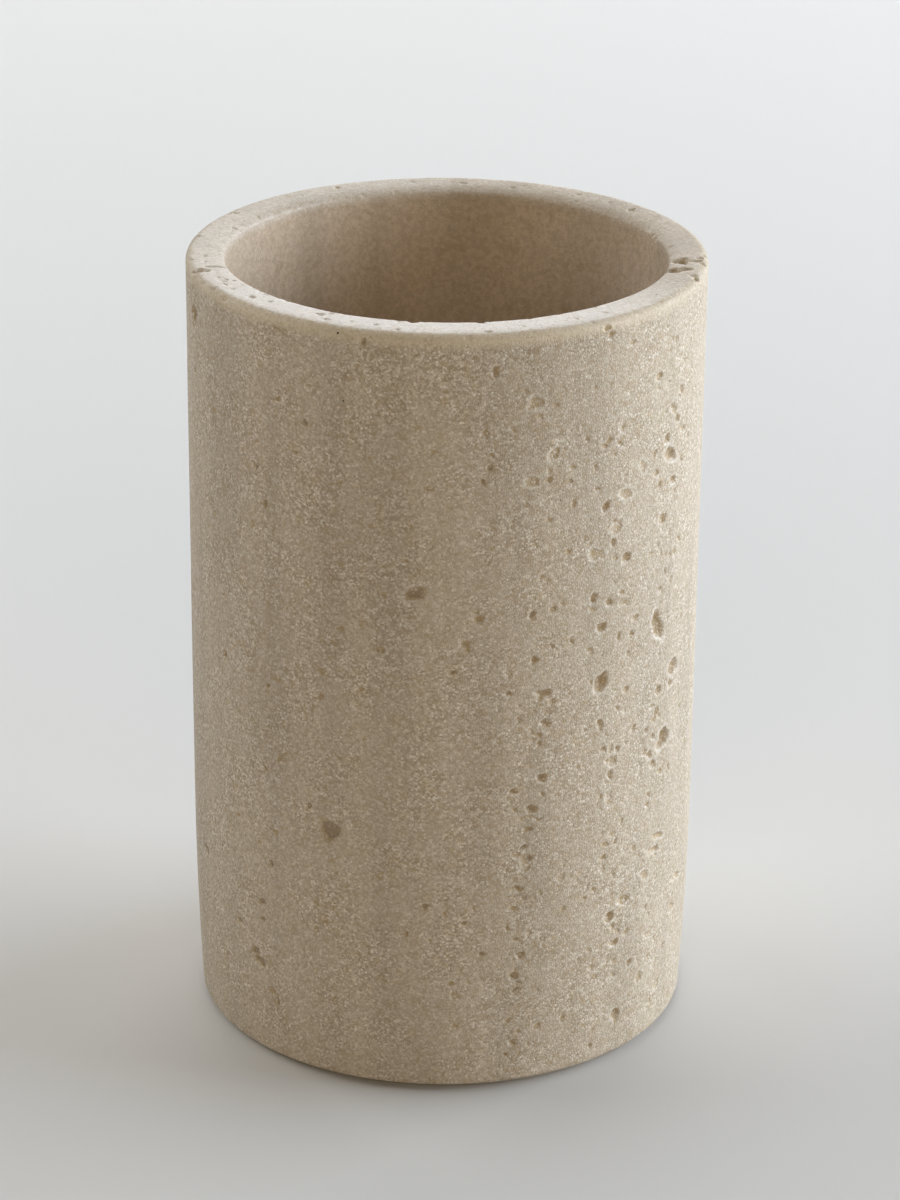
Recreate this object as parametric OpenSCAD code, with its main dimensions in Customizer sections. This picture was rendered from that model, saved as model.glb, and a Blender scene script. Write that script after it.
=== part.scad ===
// Bathroom tumbler: an upright cylinder cast in pitted stone, open at the top,
// standing on a soft pad that is stuck into a shallow recess under its foot.
// Millimetres, +Z up, origin on the surface that it stands on, under its centre.
// The photographed side faces -Y. Angles round the wall start there and run towards +X.

/* [Casting] */
// Diameter of the straight part of the wall
tumbler_d = 75; // [66:0.5:90]
// Height of the casting, from its foot to its rim
casting_h = 116.3; // [90:0.1:140]
// Thickness of the wall at the rim
wall_t = 5.6; // [4.5:0.1:8]
// Thickness of the floor, from the foot's plane to the inside
floor_t = 9; // [6:0.1:15]
// Lean of the bore's wall, in degrees, which lets the core draw out of the mould
core_draft = 0.9; // [0.2:0.1:1.5]

/* [Edges] */
// Radius of the rim's outer edge
rim_outer_r = 1.2; // [0.4:0.1:2]
// Radius of the rim's inner edge
rim_inner_r = 1; // [0.4:0.1:2]
// Radius of the foot's outer edge
foot_edge_r = 0.9; // [0.4:0.1:2]
// Radius of the corner between the bore's wall and its floor
floor_corner_r = 6; // [2:0.5:12]
// Distance that the wall draws in at the foot
foot_draw = 0.9; // [0.3:0.05:1.5]
// Height over which the wall draws in
foot_draw_h = 36; // [15:1:50]

/* [Base pad] */
// Diameter of the soft pad
pad_d = 62; // [45:0.5:63]
// Thickness of the soft pad
pad_t = 1.6; // [1:0.1:2]
// Thickness of the adhesive film that holds it
adhesive_t = 0.2; // [0.1:0.05:0.4]
// Depth of the recess that it sits in
recess_depth = 1.1; // [0.6:0.1:1.2]
// Gap between the pad's edge and the recess
recess_gap = 0.5; // [0.2:0.1:1]

/* [Pits] */
// Length that every size in the tables of pits is a share of
pit_size = 2; // [1:0.1:2.6]
// Depth of a pit as a share of its width
pit_depth_share = 0.3; // [0.15:0.05:0.4]
// Number of beds, the upright lines of pits round the back
back_beds = 6; // [3:1:9]
// Number of pits in each bed
bed_pits = 7; // [4:1:12]
// Half the width of a bed
bed_half_w = 4.5; // [2:0.5:6]
// Seed of the scatter in the beds
bed_seed = 11; // [1:1:99]

/* [Hidden] */

// Overrun of a cut past the face that it opens
cut_over = 1;
// Sides of the casting's circles, of its small edge rounds, of the large arc, of a pit's ball and of the pad
casting_fn = 180;
edge_fn = 48;
draw_arc_fn = 720;
ball_fn = 24;
disc_fn = 120;

outer_r = tumbler_d / 2;
bore_r = outer_r - wall_t;
// The foot's plane stands clear of the ground by what the pad shows below it
foot_z = adhesive_t + pad_t - recess_depth;
rim_z = foot_z + casting_h;
floor_z = foot_z + floor_t;
recess_r = pad_d / 2 + recess_gap;

// The wall draws in at the foot along one large arc that meets the straight wall without a bend
draw_arc_r = (foot_draw_h * foot_draw_h + foot_draw * foot_draw) / (2 * foot_draw);
draw_arc_x = outer_r - draw_arc_r;
draw_arc_z = foot_z + foot_draw_h;

// A round that meets a sloping wall reaches past it by this share of its radius, so that the two cross
lead_share = 0.005;
// Centre of the foot's edge round
foot_round_x = wall_r(foot_edge_r) - foot_edge_r * (1 - lead_share);
foot_round_z = foot_z + foot_edge_r;
// Centre of the round between the bore's leaning wall and its floor
corner_z = floor_z + floor_corner_r;
corner_x = bore_r - (rim_z - corner_z) * tan(core_draft) - floor_corner_r * (1 - lead_share);

// Beds round the back, in degrees: from just past the photographed side's edge to the other edge
back_from = 96;
back_to = 264;
// The wave that a scattered pit's place and size are read from: a turn and a gain
chance_turn = 78.233;
chance_gain = 437.585;
// Readings that each scattered pit takes
pit_draws = 5;
// Least size of a scattered pit and how uneven its place is, as shares
bed_least_share = 0.45;
bed_jitter_share = 0.35;
bed_rest_share = 0.03;
// A pit that is longer than this share of its width is a chain of balls
round_share = 1.45;
// A ball of a chain lies at most this share of the pit's width from the next
chain_step_share = 0.75;

// Pits of the photographed side: angle round the wall, height as a share of the casting's,
// length and width as shares of pit_size, and tilt in degrees up from level
front_pit_shares = [
    // The sparse left side
    [-72.9, 0.943, 1.65, 1.0, 5], [-38.1, 0.894, 0.6, 0.55, 0], [-22.6, 0.617, 0.75, 0.55, 0],
    [-26.7, 0.557, 1.0, 0.55, -10], [-38.9, 0.53, 0.75, 0.5, 0], [-27.5, 0.524, 0.6, 0.6, 0],
    [-38.3, 0.426, 0.85, 0.55, 80], [-25.4, 0.345, 1.8, 1.5, 0], [-26.6, 0.219, 0.8, 0.5, 80],
    [-44.6, 0.214, 0.9, 0.7, 0], [-69.8, 0.229, 1.3, 0.75, 0], [-53, 0.169, 0.95, 0.65, 0],
    [-45.9, 0.131, 1.5, 1.3, -30], [-42, 0.093, 0.65, 0.55, 0],
    // The centre
    [-6.1, 0.673, 1.65, 0.95, 10], [-13.6, 0.599, 0.7, 0.5, 0], [7.4, 0.641, 0.75, 0.6, 0],
    [4.5, 0.609, 0.65, 0.55, 0], [8.4, 0.878, 0.6, 0.6, 0], [10.3, 0.955, 0.65, 0.65, 0],
    [2.3, 0.15, 0.6, 0.5, 0], [3.2, 0.132, 0.75, 0.5, -10],
    // The first bed, right of the centre
    [19.9, 0.581, 0.65, 0.5, 60], [22.2, 0.535, 1.1, 0.6, 0], [22.6, 0.496, 0.9, 0.5, -5],
    [22.1, 0.422, 0.85, 0.6, 0], [15.6, 0.409, 0.6, 0.5, 0], [19.8, 0.382, 0.9, 0.6, 0],
    [19.3, 0.371, 1.5, 0.3, -8], [16.7, 0.276, 0.9, 0.5, -5], [16.6, 0.264, 1.5, 0.3, -8],
    [18, 0.181, 0.75, 0.6, 0], [16.4, 0.154, 0.7, 0.6, 0], [16.7, 0.058, 0.65, 0.5, 0],
    // The second bed
    [36.9, 0.763, 0.8, 0.6, 60], [43.2, 0.687, 0.85, 0.7, 0], [34.2, 0.648, 0.65, 0.65, 0],
    [38.3, 0.636, 0.65, 0.5, 0], [36.4, 0.605, 0.85, 0.7, 0], [36.6, 0.531, 1.4, 1.1, 60],
    [36.6, 0.477, 0.8, 0.55, 90], [39.9, 0.403, 0.7, 0.5, 90], [45.4, 0.22, 1.3, 0.7, 0],
    [40.9, 0.204, 0.85, 0.75, 0], [42.6, 0.163, 0.8, 0.55, -10], [48.3, 0.123, 0.55, 0.55, 0],
    [44.5, 0.057, 1.0, 0.8, 60],
    // The third bed, near the right edge
    [52.6, 0.906, 0.9, 0.55, 5], [62.6, 0.874, 1.0, 0.55, -10], [59.1, 0.855, 1.3, 0.5, -39],
    [60.8, 0.839, 0.7, 0.55, -60], [56.5, 0.82, 0.7, 0.65, 0], [64.2, 0.82, 0.75, 0.5, 0],
    [58.2, 0.797, 1.5, 1.0, -30], [52.5, 0.783, 0.7, 0.5, 0], [59.6, 0.762, 0.8, 0.65, 0],
    [55.7, 0.718, 1.0, 0.7, 0], [54.9, 0.578, 2.2, 1.15, -65], [62.9, 0.507, 1.35, 1.2, 0],
    [61.3, 0.487, 0.7, 0.6, 0], [56, 0.489, 0.75, 0.7, 0], [55.4, 0.461, 0.7, 0.55, 90],
    [54.3, 0.429, 0.5, 0.5, 0], [58.9, 0.417, 1.55, 1.4, 0], [53, 0.407, 0.75, 0.6, 0],
    [54.5, 0.39, 0.75, 0.6, -15], [57.7, 0.284, 1.5, 0.5, -15], [56.2, 0.266, 1.3, 0.6, 0],
    [69.6, 0.197, 1.6, 0.55, -8], [67.3, 0.158, 1.3, 0.6, 0], [63.5, 0.112, 0.7, 0.5, 0]
];

// Pits in the rim's top: angle, place across the wall from bore to outside as a share,
// length across the wall and width along it as shares of pit_size
rim_pit_shares = [
    [84, 0.36, 1.3, 1.1], [76, 0.3, 1.5, 0.95], [84.5, 0.74, 0.6, 0.5], [-74, 0.74, 0.9, 0.8],
    [-51.2, 0.45, 0.5, 0.45], [-119.5, 0.68, 0.6, 0.5], [-109.8, 0.3, 0.5, 0.4],
    [128, 0.5, 0.7, 0.6], [163, 0.35, 0.5, 0.45], [-152, 0.6, 0.6, 0.5]
];

// Radius of the outer wall at a height above the foot's plane
function wall_r(h) = h >= foot_draw_h ? outer_r
    : draw_arc_x + sqrt(draw_arc_r * draw_arc_r - (foot_draw_h - h) * (foot_draw_h - h));

// What a quarter round takes off a square corner of a half profile, for a corner that points
// away from the axis or towards it, and up or down
module corner_waste(centre, corner_r, away, up) {
    translate(centre)
    difference() {
        translate([away > 0 ? 0 : -corner_r - cut_over, up > 0 ? 0 : -corner_r - cut_over])
        square(corner_r + cut_over);
        circle(corner_r, $fn = edge_fn);
    }
}

// Half profile of the casting's outside: a rectangle, less what the large arc and the edge rounds take off
module outer_profile() {
    difference() {
        translate([0, foot_z]) square([outer_r, casting_h]);
        difference() {
            translate([outer_r - 2 * foot_draw, foot_z - cut_over])
            square([2 * foot_draw + cut_over, foot_draw_h + cut_over]);
            translate([draw_arc_x, draw_arc_z]) circle(draw_arc_r, $fn = draw_arc_fn);
        }
        corner_waste([foot_round_x, foot_round_z], foot_edge_r, 1, -1);
        corner_waste([outer_r - rim_outer_r, rim_z - rim_outer_r], rim_outer_r, 1, 1);
    }
}

// Half profile of the bore: a leaning wall and a floor, less what their corner round leaves standing
module bore_profile() {
    difference() {
        polygon([[0, floor_z], [bore_r - (rim_z - floor_z) * tan(core_draft), floor_z],
            [bore_r + cut_over * tan(core_draft), rim_z + cut_over], [0, rim_z + cut_over]]);
        corner_waste([corner_x, corner_z], floor_corner_r, 1, -1);
    }
}

// Half profile of the whole casting, without its pits
module casting_profile() {
    difference() {
        outer_profile();
        bore_profile();
        corner_waste([bore_r + rim_inner_r, rim_z - rim_inner_r], rim_inner_r, -1, 1);
        translate([0, foot_z - cut_over]) square([recess_r, recess_depth + cut_over]);
    }
}

// Radius of the ball that leaves a cap of a given width in a flat face
function ball_r(width) = width * (1 + 4 * pit_depth_share * pit_depth_share) / (8 * pit_depth_share);

// Places of a pit's balls along its length, either side of its middle
function chain(long, width) =
    let (run = long - width, steps = ceil(run / (width * chain_step_share)))
    long < round_share * width ? [0] : [for (i = [0 : steps]) run * (i / steps - 0.5)];

// One pit in the wall
module wall_pit(angle, height, long, width, tilt) {
    r = wall_r(height);
    for (along = chain(long, width))
        rotate([0, 0, angle + along * cos(tilt) / r * 180 / PI])
        translate([0, -r - ball_r(width) + pit_depth_share * width, foot_z + height + along * sin(tilt)])
        sphere(ball_r(width), $fn = ball_fn);
}

// One pit in the rim's top, longer across the wall than along it
module rim_pit(angle, across, long, width) {
    for (along = chain(long, width))
        rotate([0, 0, angle])
        translate([0, -bore_r - across - along, rim_z + ball_r(width) - pit_depth_share * width])
        sphere(ball_r(width), $fn = ball_fn);
}

// The pits of the photographed side
module front_pits() {
    for (p = front_pit_shares)
        wall_pit(p[0], p[1] * casting_h, p[2] * pit_size, p[3] * pit_size, p[4]);
}

// A number from 0 to 1 that is as good as chance and is the same in every build
function chance(n) = let (wave = chance_gain * (1 + sin(n * chance_turn))) wave - floor(wave);

// The same, from -1 to 1
function either_way(n) = 2 * chance(n) - 1;

// One bed round the back: its pits stand over each other, at uneven steps and of uneven size
module back_bed(bed) {
    angle = back_from + (back_to - back_from) * (bed + 0.5) / back_beds;
    for (i = [0 : bed_pits - 1]) {
        draw = bed_seed + pit_draws * (bed * bed_pits + i);
        aside = bed_half_w * either_way(draw);
        share = (i + 0.5 + bed_jitter_share * either_way(draw + 1)) / bed_pits;
        width = pit_size * (bed_least_share + (1 - bed_least_share) * chance(draw + 2) * chance(draw + 2));
        wall_pit(angle + aside / outer_r * 180 / PI,
            casting_h * (bed_rest_share + (1 - 2 * bed_rest_share) * share),
            width * (1 + chance(draw + 3)), width, 90 * either_way(draw + 4));
    }
}

// The pits in the rim's top
module rim_pits() {
    for (p = rim_pit_shares)
        rim_pit(p[0], p[1] * wall_t, p[2] * pit_size, p[3] * pit_size);
}

// The casting: one piece of sandy stone with its wall, floor, rim and foot
module tumbler_body() {
    color("#b5a78f")
    difference() {
        rotate_extrude($fn = casting_fn) casting_profile();
        front_pits();
        rim_pits();
        for (bed = [0 : back_beds - 1]) back_bed(bed);
    }
}

// The film of transfer adhesive between the recess and the pad
module pad_adhesive() {
    color("#e6dfc8")
    translate([0, 0, pad_t]) cylinder(h = adhesive_t, d = pad_d, $fn = disc_fn);
}

// The soft pad that the tumbler stands on
module base_pad() {
    color("#3c3a37")
    cylinder(h = pad_t, d = pad_d, $fn = disc_fn);
}

tumbler_body();
pad_adhesive();
base_pad();
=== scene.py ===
# %% [markdown]
# A stone tumbler for a bathroom: one thick cylinder cast in sandy stone, open at the top, on a thin soft
# pad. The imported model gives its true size. This script adds what a size can't: the pitted skin, the sand
# grain, the dust in the pits, the foam of the pad and the light. Everything is in metres, in the packed
# model's own frame: +Z up, the photographed side towards -Y.

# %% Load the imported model
import math

import bpy
import numpy as np
from mathutils import Euler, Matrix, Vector
from mathutils.geometry import delaunay_2d_cdt
from mathutils.kdtree import KDTree


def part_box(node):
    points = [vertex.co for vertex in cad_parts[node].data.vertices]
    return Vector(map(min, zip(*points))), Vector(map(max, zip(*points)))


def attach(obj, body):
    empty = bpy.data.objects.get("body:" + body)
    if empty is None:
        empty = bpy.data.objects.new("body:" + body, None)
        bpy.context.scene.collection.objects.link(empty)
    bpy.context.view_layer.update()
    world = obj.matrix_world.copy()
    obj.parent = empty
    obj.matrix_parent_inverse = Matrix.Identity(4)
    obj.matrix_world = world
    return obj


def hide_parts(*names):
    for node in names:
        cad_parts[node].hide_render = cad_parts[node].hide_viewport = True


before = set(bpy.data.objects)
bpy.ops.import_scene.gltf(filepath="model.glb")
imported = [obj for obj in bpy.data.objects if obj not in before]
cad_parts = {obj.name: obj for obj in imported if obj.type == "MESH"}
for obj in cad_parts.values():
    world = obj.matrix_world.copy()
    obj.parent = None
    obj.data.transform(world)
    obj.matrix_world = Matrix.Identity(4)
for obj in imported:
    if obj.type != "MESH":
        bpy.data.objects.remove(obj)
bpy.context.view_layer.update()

# %% [markdown]
# Sizes first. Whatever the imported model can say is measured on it, so that a change of size there is
# followed here. Lengths are in millimetres, because a tumbler is easier to think about in millimetres
# than in metres. MM turns them into Blender's metres at the very end.

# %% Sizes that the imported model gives
MM = 0.001


def corners(node):
    """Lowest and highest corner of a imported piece, in millimetres."""
    low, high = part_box(node)
    return np.array(low) / MM, np.array(high) / MM


casting_low, casting_high = corners("tumbler_body")
_, film_high = corners("pad_adhesive")
pad_low, pad_high = corners("base_pad")
outer_r = (casting_high[0] - casting_low[0]) / 2
foot_z = casting_low[2]
rim_z = casting_high[2]
casting_h = rim_z - foot_z
recess_z = film_high[2]
pad_r = (pad_high[0] - pad_low[0]) / 2
print(f"casting {2 * outer_r:.1f} mm across, {casting_h:.1f} mm tall, on a pad {2 * pad_r:.1f} mm across")

# %% [markdown]
# A box doesn't show what a section does: the thick wall and floor, the bore that leans out a little so
# that the mould's core comes free, the small rounds of the rim, the foot that draws in, and the recess
# for the pad. These are the casting's own sizes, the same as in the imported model.

# %% Sizes of the section
wall_t = 5.6
floor_t = 9
floor_corner_r = 6
core_draft = math.radians(0.9)
rim_outer_r = 1.0
rim_inner_r = 0.35
foot_edge_r = 0.9
foot_draw = 0.9
foot_draw_h = 36
recess_gap = 0.5
recess_edge_r = 0.3
bore_r = outer_r - wall_t
floor_z = foot_z + floor_t
recess_r = pad_r + recess_gap
print(f"the wall is {wall_t} mm thick, and the bore is {2 * bore_r:.1f} mm across at the rim")

# %% [markdown]
# The casting is a body of revolution with hundreds of pits, so it could be made as a lathe shape with
# booleans, or as a dense cylinder with a displacement texture. Booleans leave hard, thin edges, and a
# dense grid spends most of its faces on plain wall. Here the skin is made flat first, as if the wall had
# been unrolled: u runs round the wall and s runs along the half profile, from the recess under the foot,
# up the outside, over the rim and down the bore. In that flat plane it is easy to put many points where
# the stone has detail and few where it has none. Then the plane is wrapped round the axis.

# %% Points along lines and arcs
sample_step = 0.25
least_line_steps = 2
least_arc_steps = 6
arc_finer = 4


def line(start, end):
    """Points along a straight stretch of the profile, each (radius, height)."""
    steps = max(least_line_steps, int(math.dist(start, end) / sample_step))
    return np.linspace(start, end, steps + 1)


def arc(centre, radius, start, end):
    """Points along a round stretch. Angles are in degrees from the outward direction, turning up."""
    steps = max(least_arc_steps, int(radius * math.radians(abs(end - start)) / sample_step * arc_finer))
    turn = np.radians(np.linspace(start, end, steps + 1))
    return np.column_stack([centre[0] + radius * np.cos(turn), centre[1] + radius * np.sin(turn)])


print("the corner inside gets", len(arc((0, 0), floor_corner_r, 0, -90)), "points")

# %% The half profile, walked from the recess to the bore's floor
floor_disc_r = 18
draw_arc_r = (foot_draw_h ** 2 + foot_draw ** 2) / (2 * foot_draw)
draw_lean = math.degrees(math.asin((foot_draw_h - foot_edge_r) / draw_arc_r))
foot_round_x = outer_r - draw_arc_r * (1 - math.cos(math.radians(draw_lean))) - foot_edge_r
corner_z = floor_z + floor_corner_r
corner_x = bore_r - (rim_z - corner_z) * math.tan(core_draft) - floor_corner_r

# Name, points and number of mesh rows of each stretch
stretches = [
    ("recess", line((recess_r, recess_z), (recess_r, foot_z + recess_edge_r)), 2),
    ("recess edge", arc((recess_r + recess_edge_r, foot_z + recess_edge_r), recess_edge_r, 180, 270), 3),
    ("foot", line((recess_r + recess_edge_r, foot_z), (foot_round_x, foot_z)), 4),
    ("foot round", arc((foot_round_x, foot_z + foot_edge_r), foot_edge_r, -90, -draw_lean), 6),
    ("draw", arc((outer_r - draw_arc_r, foot_z + foot_draw_h), draw_arc_r, -draw_lean, 0), 26),
    ("wall", line((outer_r, foot_z + foot_draw_h), (outer_r, rim_z - rim_outer_r)), 56),
    ("rim outer round", arc((outer_r - rim_outer_r, rim_z - rim_outer_r), rim_outer_r, 0, 90), 7),
    ("rim", line((outer_r - rim_outer_r, rim_z), (bore_r + rim_inner_r, rim_z)), 12),
    ("rim inner round", arc((bore_r + rim_inner_r, rim_z - rim_inner_r), rim_inner_r, 90, 180), 5),
    ("bore", line((bore_r, rim_z - rim_inner_r), (corner_x + floor_corner_r, corner_z)), 48),
    ("corner", arc((corner_x, corner_z), floor_corner_r, 0, -90), 8),
    ("floor", line((corner_x, floor_z), (floor_disc_r, floor_z)), 4),
]
profile = np.concatenate([points[:-1] for _, points, _ in stretches] + [stretches[-1][1][-1:]])
s_of_point = np.concatenate([[0], np.cumsum(np.hypot(*np.diff(profile, axis=0).T))])
skin_h = s_of_point[-1]
skin_w = 2 * math.pi * outer_r
half_w = skin_w / 2
print(f"the unrolled skin is {skin_w:.1f} mm by {skin_h:.1f} mm")

# %% Rows of the mesh along the profile
ends = {}
rows = []
first = 0
for name, points, count in stretches:
    last = first + len(points) - 1
    ends[name] = (s_of_point[first], s_of_point[last])
    rows.extend(np.linspace(*ends[name], count, endpoint=False))
    first = last
rows.append(skin_h)
rim_from = ends["rim outer round"][0]
rim_to = ends["rim inner round"][1]
print(f"{len(rows)} rows; the rim lies from {rim_from:.1f} to {rim_to:.1f} mm along the profile")

# %% [markdown]
# Everything that follows is placed on the unrolled skin, so three small functions read the profile: one
# gives the radius, height and outward direction at any s, and two find s for a height on the wall or for
# a share of the rim's width.

# %% Reading the profile
tangent = np.gradient(profile, s_of_point, axis=0)
tangent /= np.hypot(*tangent.T)[:, None]


def profile_at(s):
    """Radius, height and outward normal (in radius and height) of the profile at s."""
    r, z = (np.interp(s, s_of_point, profile[:, k]) for k in (0, 1))
    t_r, t_z = (np.interp(s, s_of_point, tangent[:, k]) for k in (0, 1))
    return r, z, t_z, -t_r


def s_on_wall(height):
    """s of a place on the outside, from its height above the foot's plane."""
    outside = (s_of_point >= ends["foot round"][0]) & (s_of_point <= rim_from)
    return np.interp(foot_z + height, profile[outside, 1], s_of_point[outside])


def s_on_rim(share):
    """s of a place on the rim, from its share of the wall's thickness, counted from the bore."""
    over = (s_of_point >= rim_from) & (s_of_point <= rim_to)
    return np.interp(bore_r + share * wall_t, profile[over, 0][::-1], s_of_point[over][::-1])


print(f"half-way up the wall is s = {s_on_wall(casting_h / 2):.1f} mm")

# %% [markdown]
# Pits are where gas bubbles and softer beds left the stone open. They stand in upright beds: three on
# the right of the photographed side, few on the left. The large ones were read from the photograph one
# by one, because their places are what makes this casting this one. Each is an angle round the wall (0
# is the front, + towards +X), a height, a length, a width and a tilt in degrees up from level.

# %% Large pits of the left and the middle, in degrees and millimetres
left_pits = [
    (-72.5, 109.9, 3.2, 2.4, 90), (-69.8, 104.4, 1.5, 0.8, 0), (-38, 114.3, 1.7, 0.9, -10),
    (-59.8, 98.3, 1.7, 0.7, 0), (-38.1, 104, 1.1, 1.1, 0), (-46, 84.2, 1.2, 0.9, 90),
    (-61, 82.6, 1.1, 0.9, 0), (-22.6, 71.8, 1.5, 1.1, 0), (-57.1, 70.8, 1.0, 0.8, 0),
    (-26.7, 64.8, 2.0, 1.1, -10), (-38.9, 61.7, 1.5, 1.0, 0), (-27.5, 60.8, 1.2, 1.2, 0),
    (-38.3, 49.5, 1.7, 1.1, 80), (-36.6, 50.5, 1.4, 0.7, 30), (-25.4, 40.1, 3.6, 3.0, 0),
    (-24.9, 39.5, 1.4, 1.2, 20), (-52.1, 37.2, 1.4, 0.9, 0), (-39.9, 37.3, 1.3, 0.9, -15),
    (-45, 34.5, 1.5, 0.9, 0), (-24.6, 28.2, 1.4, 0.9, 90), (-26.6, 25.5, 1.6, 1.0, 80),
    (-44.6, 24.9, 1.8, 1.4, 0), (-69.8, 26.6, 2.6, 1.5, 0), (-53, 19.7, 1.9, 1.3, 0),
    (-45.8, 14.8, 2.4, 1.7, -30), (-47.3, 16.1, 1.9, 1.6, 0), (-43.4, 16.2, 1.6, 0.6, 10),
    (-42, 10.8, 1.3, 1.1, 0),
]
centre_pits = [
    (-6.1, 78.4, 3.3, 1.9, 10), (-6, 78.8, 1.9, 0.9, 10), (-8.6, 83.4, 1.2, 0.9, 0),
    (-13.6, 69.6, 1.4, 1.0, 0), (7.4, 74.6, 1.5, 1.2, 0), (4.5, 70.9, 1.3, 1.1, 0),
    (8.4, 102, 1.2, 1.2, 0), (10.3, 111, 1.3, 1.3, 0), (23.7, 105.2, 1.1, 0.8, 0),
    (22.6, 88.4, 1.1, 0.8, 0), (27.4, 83.2, 1.1, 0.8, -15), (28.2, 95.7, 0.9, 0.8, 0),
    (2.3, 17.4, 1.2, 1.0, 0), (3.2, 15.4, 1.5, 1.0, -10), (27.6, 35.2, 1.4, 0.5, -8),
]
print(len(left_pits) + len(centre_pits), "large pits on the left and in the middle")

# %% Large pits of the three beds on the right
first_bed_pits = [
    (19.9, 67.6, 1.3, 1.0, 60), (22.2, 62.3, 2.2, 1.2, 0), (23.1, 59.3, 1.5, 0.7, 0),
    (22.6, 57.6, 1.8, 1.0, -5), (21.1, 55.9, 1.3, 0.8, 0), (22.1, 49.1, 1.7, 1.2, 0),
    (15.6, 47.6, 1.2, 1.0, 0), (19.8, 44.5, 1.8, 1.2, 0), (17.5, 43.2, 1.4, 0.5, 14),
    (19.5, 43.3, 1.6, 0.5, -6), (21.2, 42.7, 1.0, 0.5, -50), (19, 41.3, 1.3, 0.8, 0),
    (16.7, 32.1, 1.8, 1.0, -5), (14.6, 30.8, 1.3, 0.5, 8), (16.6, 30.8, 1.7, 0.5, -2),
    (18.3, 30.4, 1.0, 0.5, -48), (16, 28.9, 1.4, 0.8, 0), (18, 21.1, 1.5, 1.2, 0),
    (16.4, 17.9, 1.4, 1.2, 0), (16.7, 6.7, 1.3, 1.0, 0),
]
second_bed_pits = [
    (36.9, 88.8, 1.6, 1.2, 60), (39.5, 86, 0.9, 0.8, 0), (39.1, 82.9, 1.2, 0.8, 90),
    (43.2, 80, 1.7, 1.4, 0), (34.2, 75.4, 1.3, 1.3, 0), (34, 73.6, 1.5, 0.8, 0),
    (38.3, 74, 1.3, 1.0, 0), (42.8, 73.1, 1.9, 0.8, 0), (36.4, 70.5, 1.7, 1.4, 0),
    (45.4, 68, 1.2, 0.9, 90), (36.6, 61.9, 2.8, 2.2, 60), (37.2, 62.4, 1.4, 1.2, 60),
    (36.6, 55.5, 1.6, 1.1, 90), (37.7, 51.3, 1.1, 0.8, 0), (39.1, 49.1, 1.1, 0.8, -20),
    (39.9, 46.9, 1.4, 1.0, 90), (41.9, 50.6, 0.9, 0.9, 0), (45.4, 25.6, 2.6, 1.4, 0),
    (40.9, 23.7, 1.7, 1.5, 0), (43.4, 20.9, 1.3, 0.6, 0), (42.6, 19.1, 1.6, 1.1, -10),
    (48.3, 14.4, 1.1, 1.1, 0), (44.5, 6.6, 2.0, 1.6, 60), (36.9, 3, 0.8, 0.8, 0),
]
third_bed_pits = [
    (52.6, 105.4, 1.8, 1.1, 5), (59.6, 109.7, 1.3, 0.9, 60), (63.6, 105.7, 1.6, 0.7, -5),
    (62.6, 101.6, 2.0, 1.1, -10), (59.1, 99.4, 2.6, 1.0, -39), (60.8, 97.6, 1.4, 1.1, -60),
    (56.5, 95.4, 1.4, 1.3, 0), (64.2, 95.4, 1.5, 1.0, 0), (58.2, 92.7, 3.0, 2.0, -30),
    (52.5, 91.1, 1.4, 1.0, 0), (59.6, 88.6, 1.6, 1.3, 0), (55.7, 83.5, 2.0, 1.4, 0),
    (54.9, 67.2, 4.4, 2.3, -65), (62.9, 58.9, 2.7, 2.4, 0), (61.3, 56.6, 1.4, 1.2, 0),
    (56, 56.8, 1.5, 1.4, 0), (53.4, 54.8, 1.4, 0.7, 0), (55.4, 53.6, 1.4, 1.1, 90),
    (54.3, 49.9, 1.0, 1.0, 0), (58.9, 48.5, 3.1, 2.8, 0), (53, 47.3, 1.5, 1.2, 0),
    (54.5, 45.4, 1.5, 1.2, -15), (52.9, 39.2, 1.2, 0.8, 0), (57.7, 33, 3.0, 1.0, -15),
    (56.2, 31, 2.6, 1.2, 0), (69.6, 22.9, 3.2, 1.1, -8), (67.3, 18.4, 2.6, 1.2, 0),
    (63.5, 13.1, 1.4, 1.0, 0),
]
print(len(first_bed_pits) + len(second_bed_pits) + len(third_bed_pits), "large pits on the right")

# %% [markdown]
# Pits of about a millimetre stand between the large ones. Only their angle and height were read.

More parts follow.
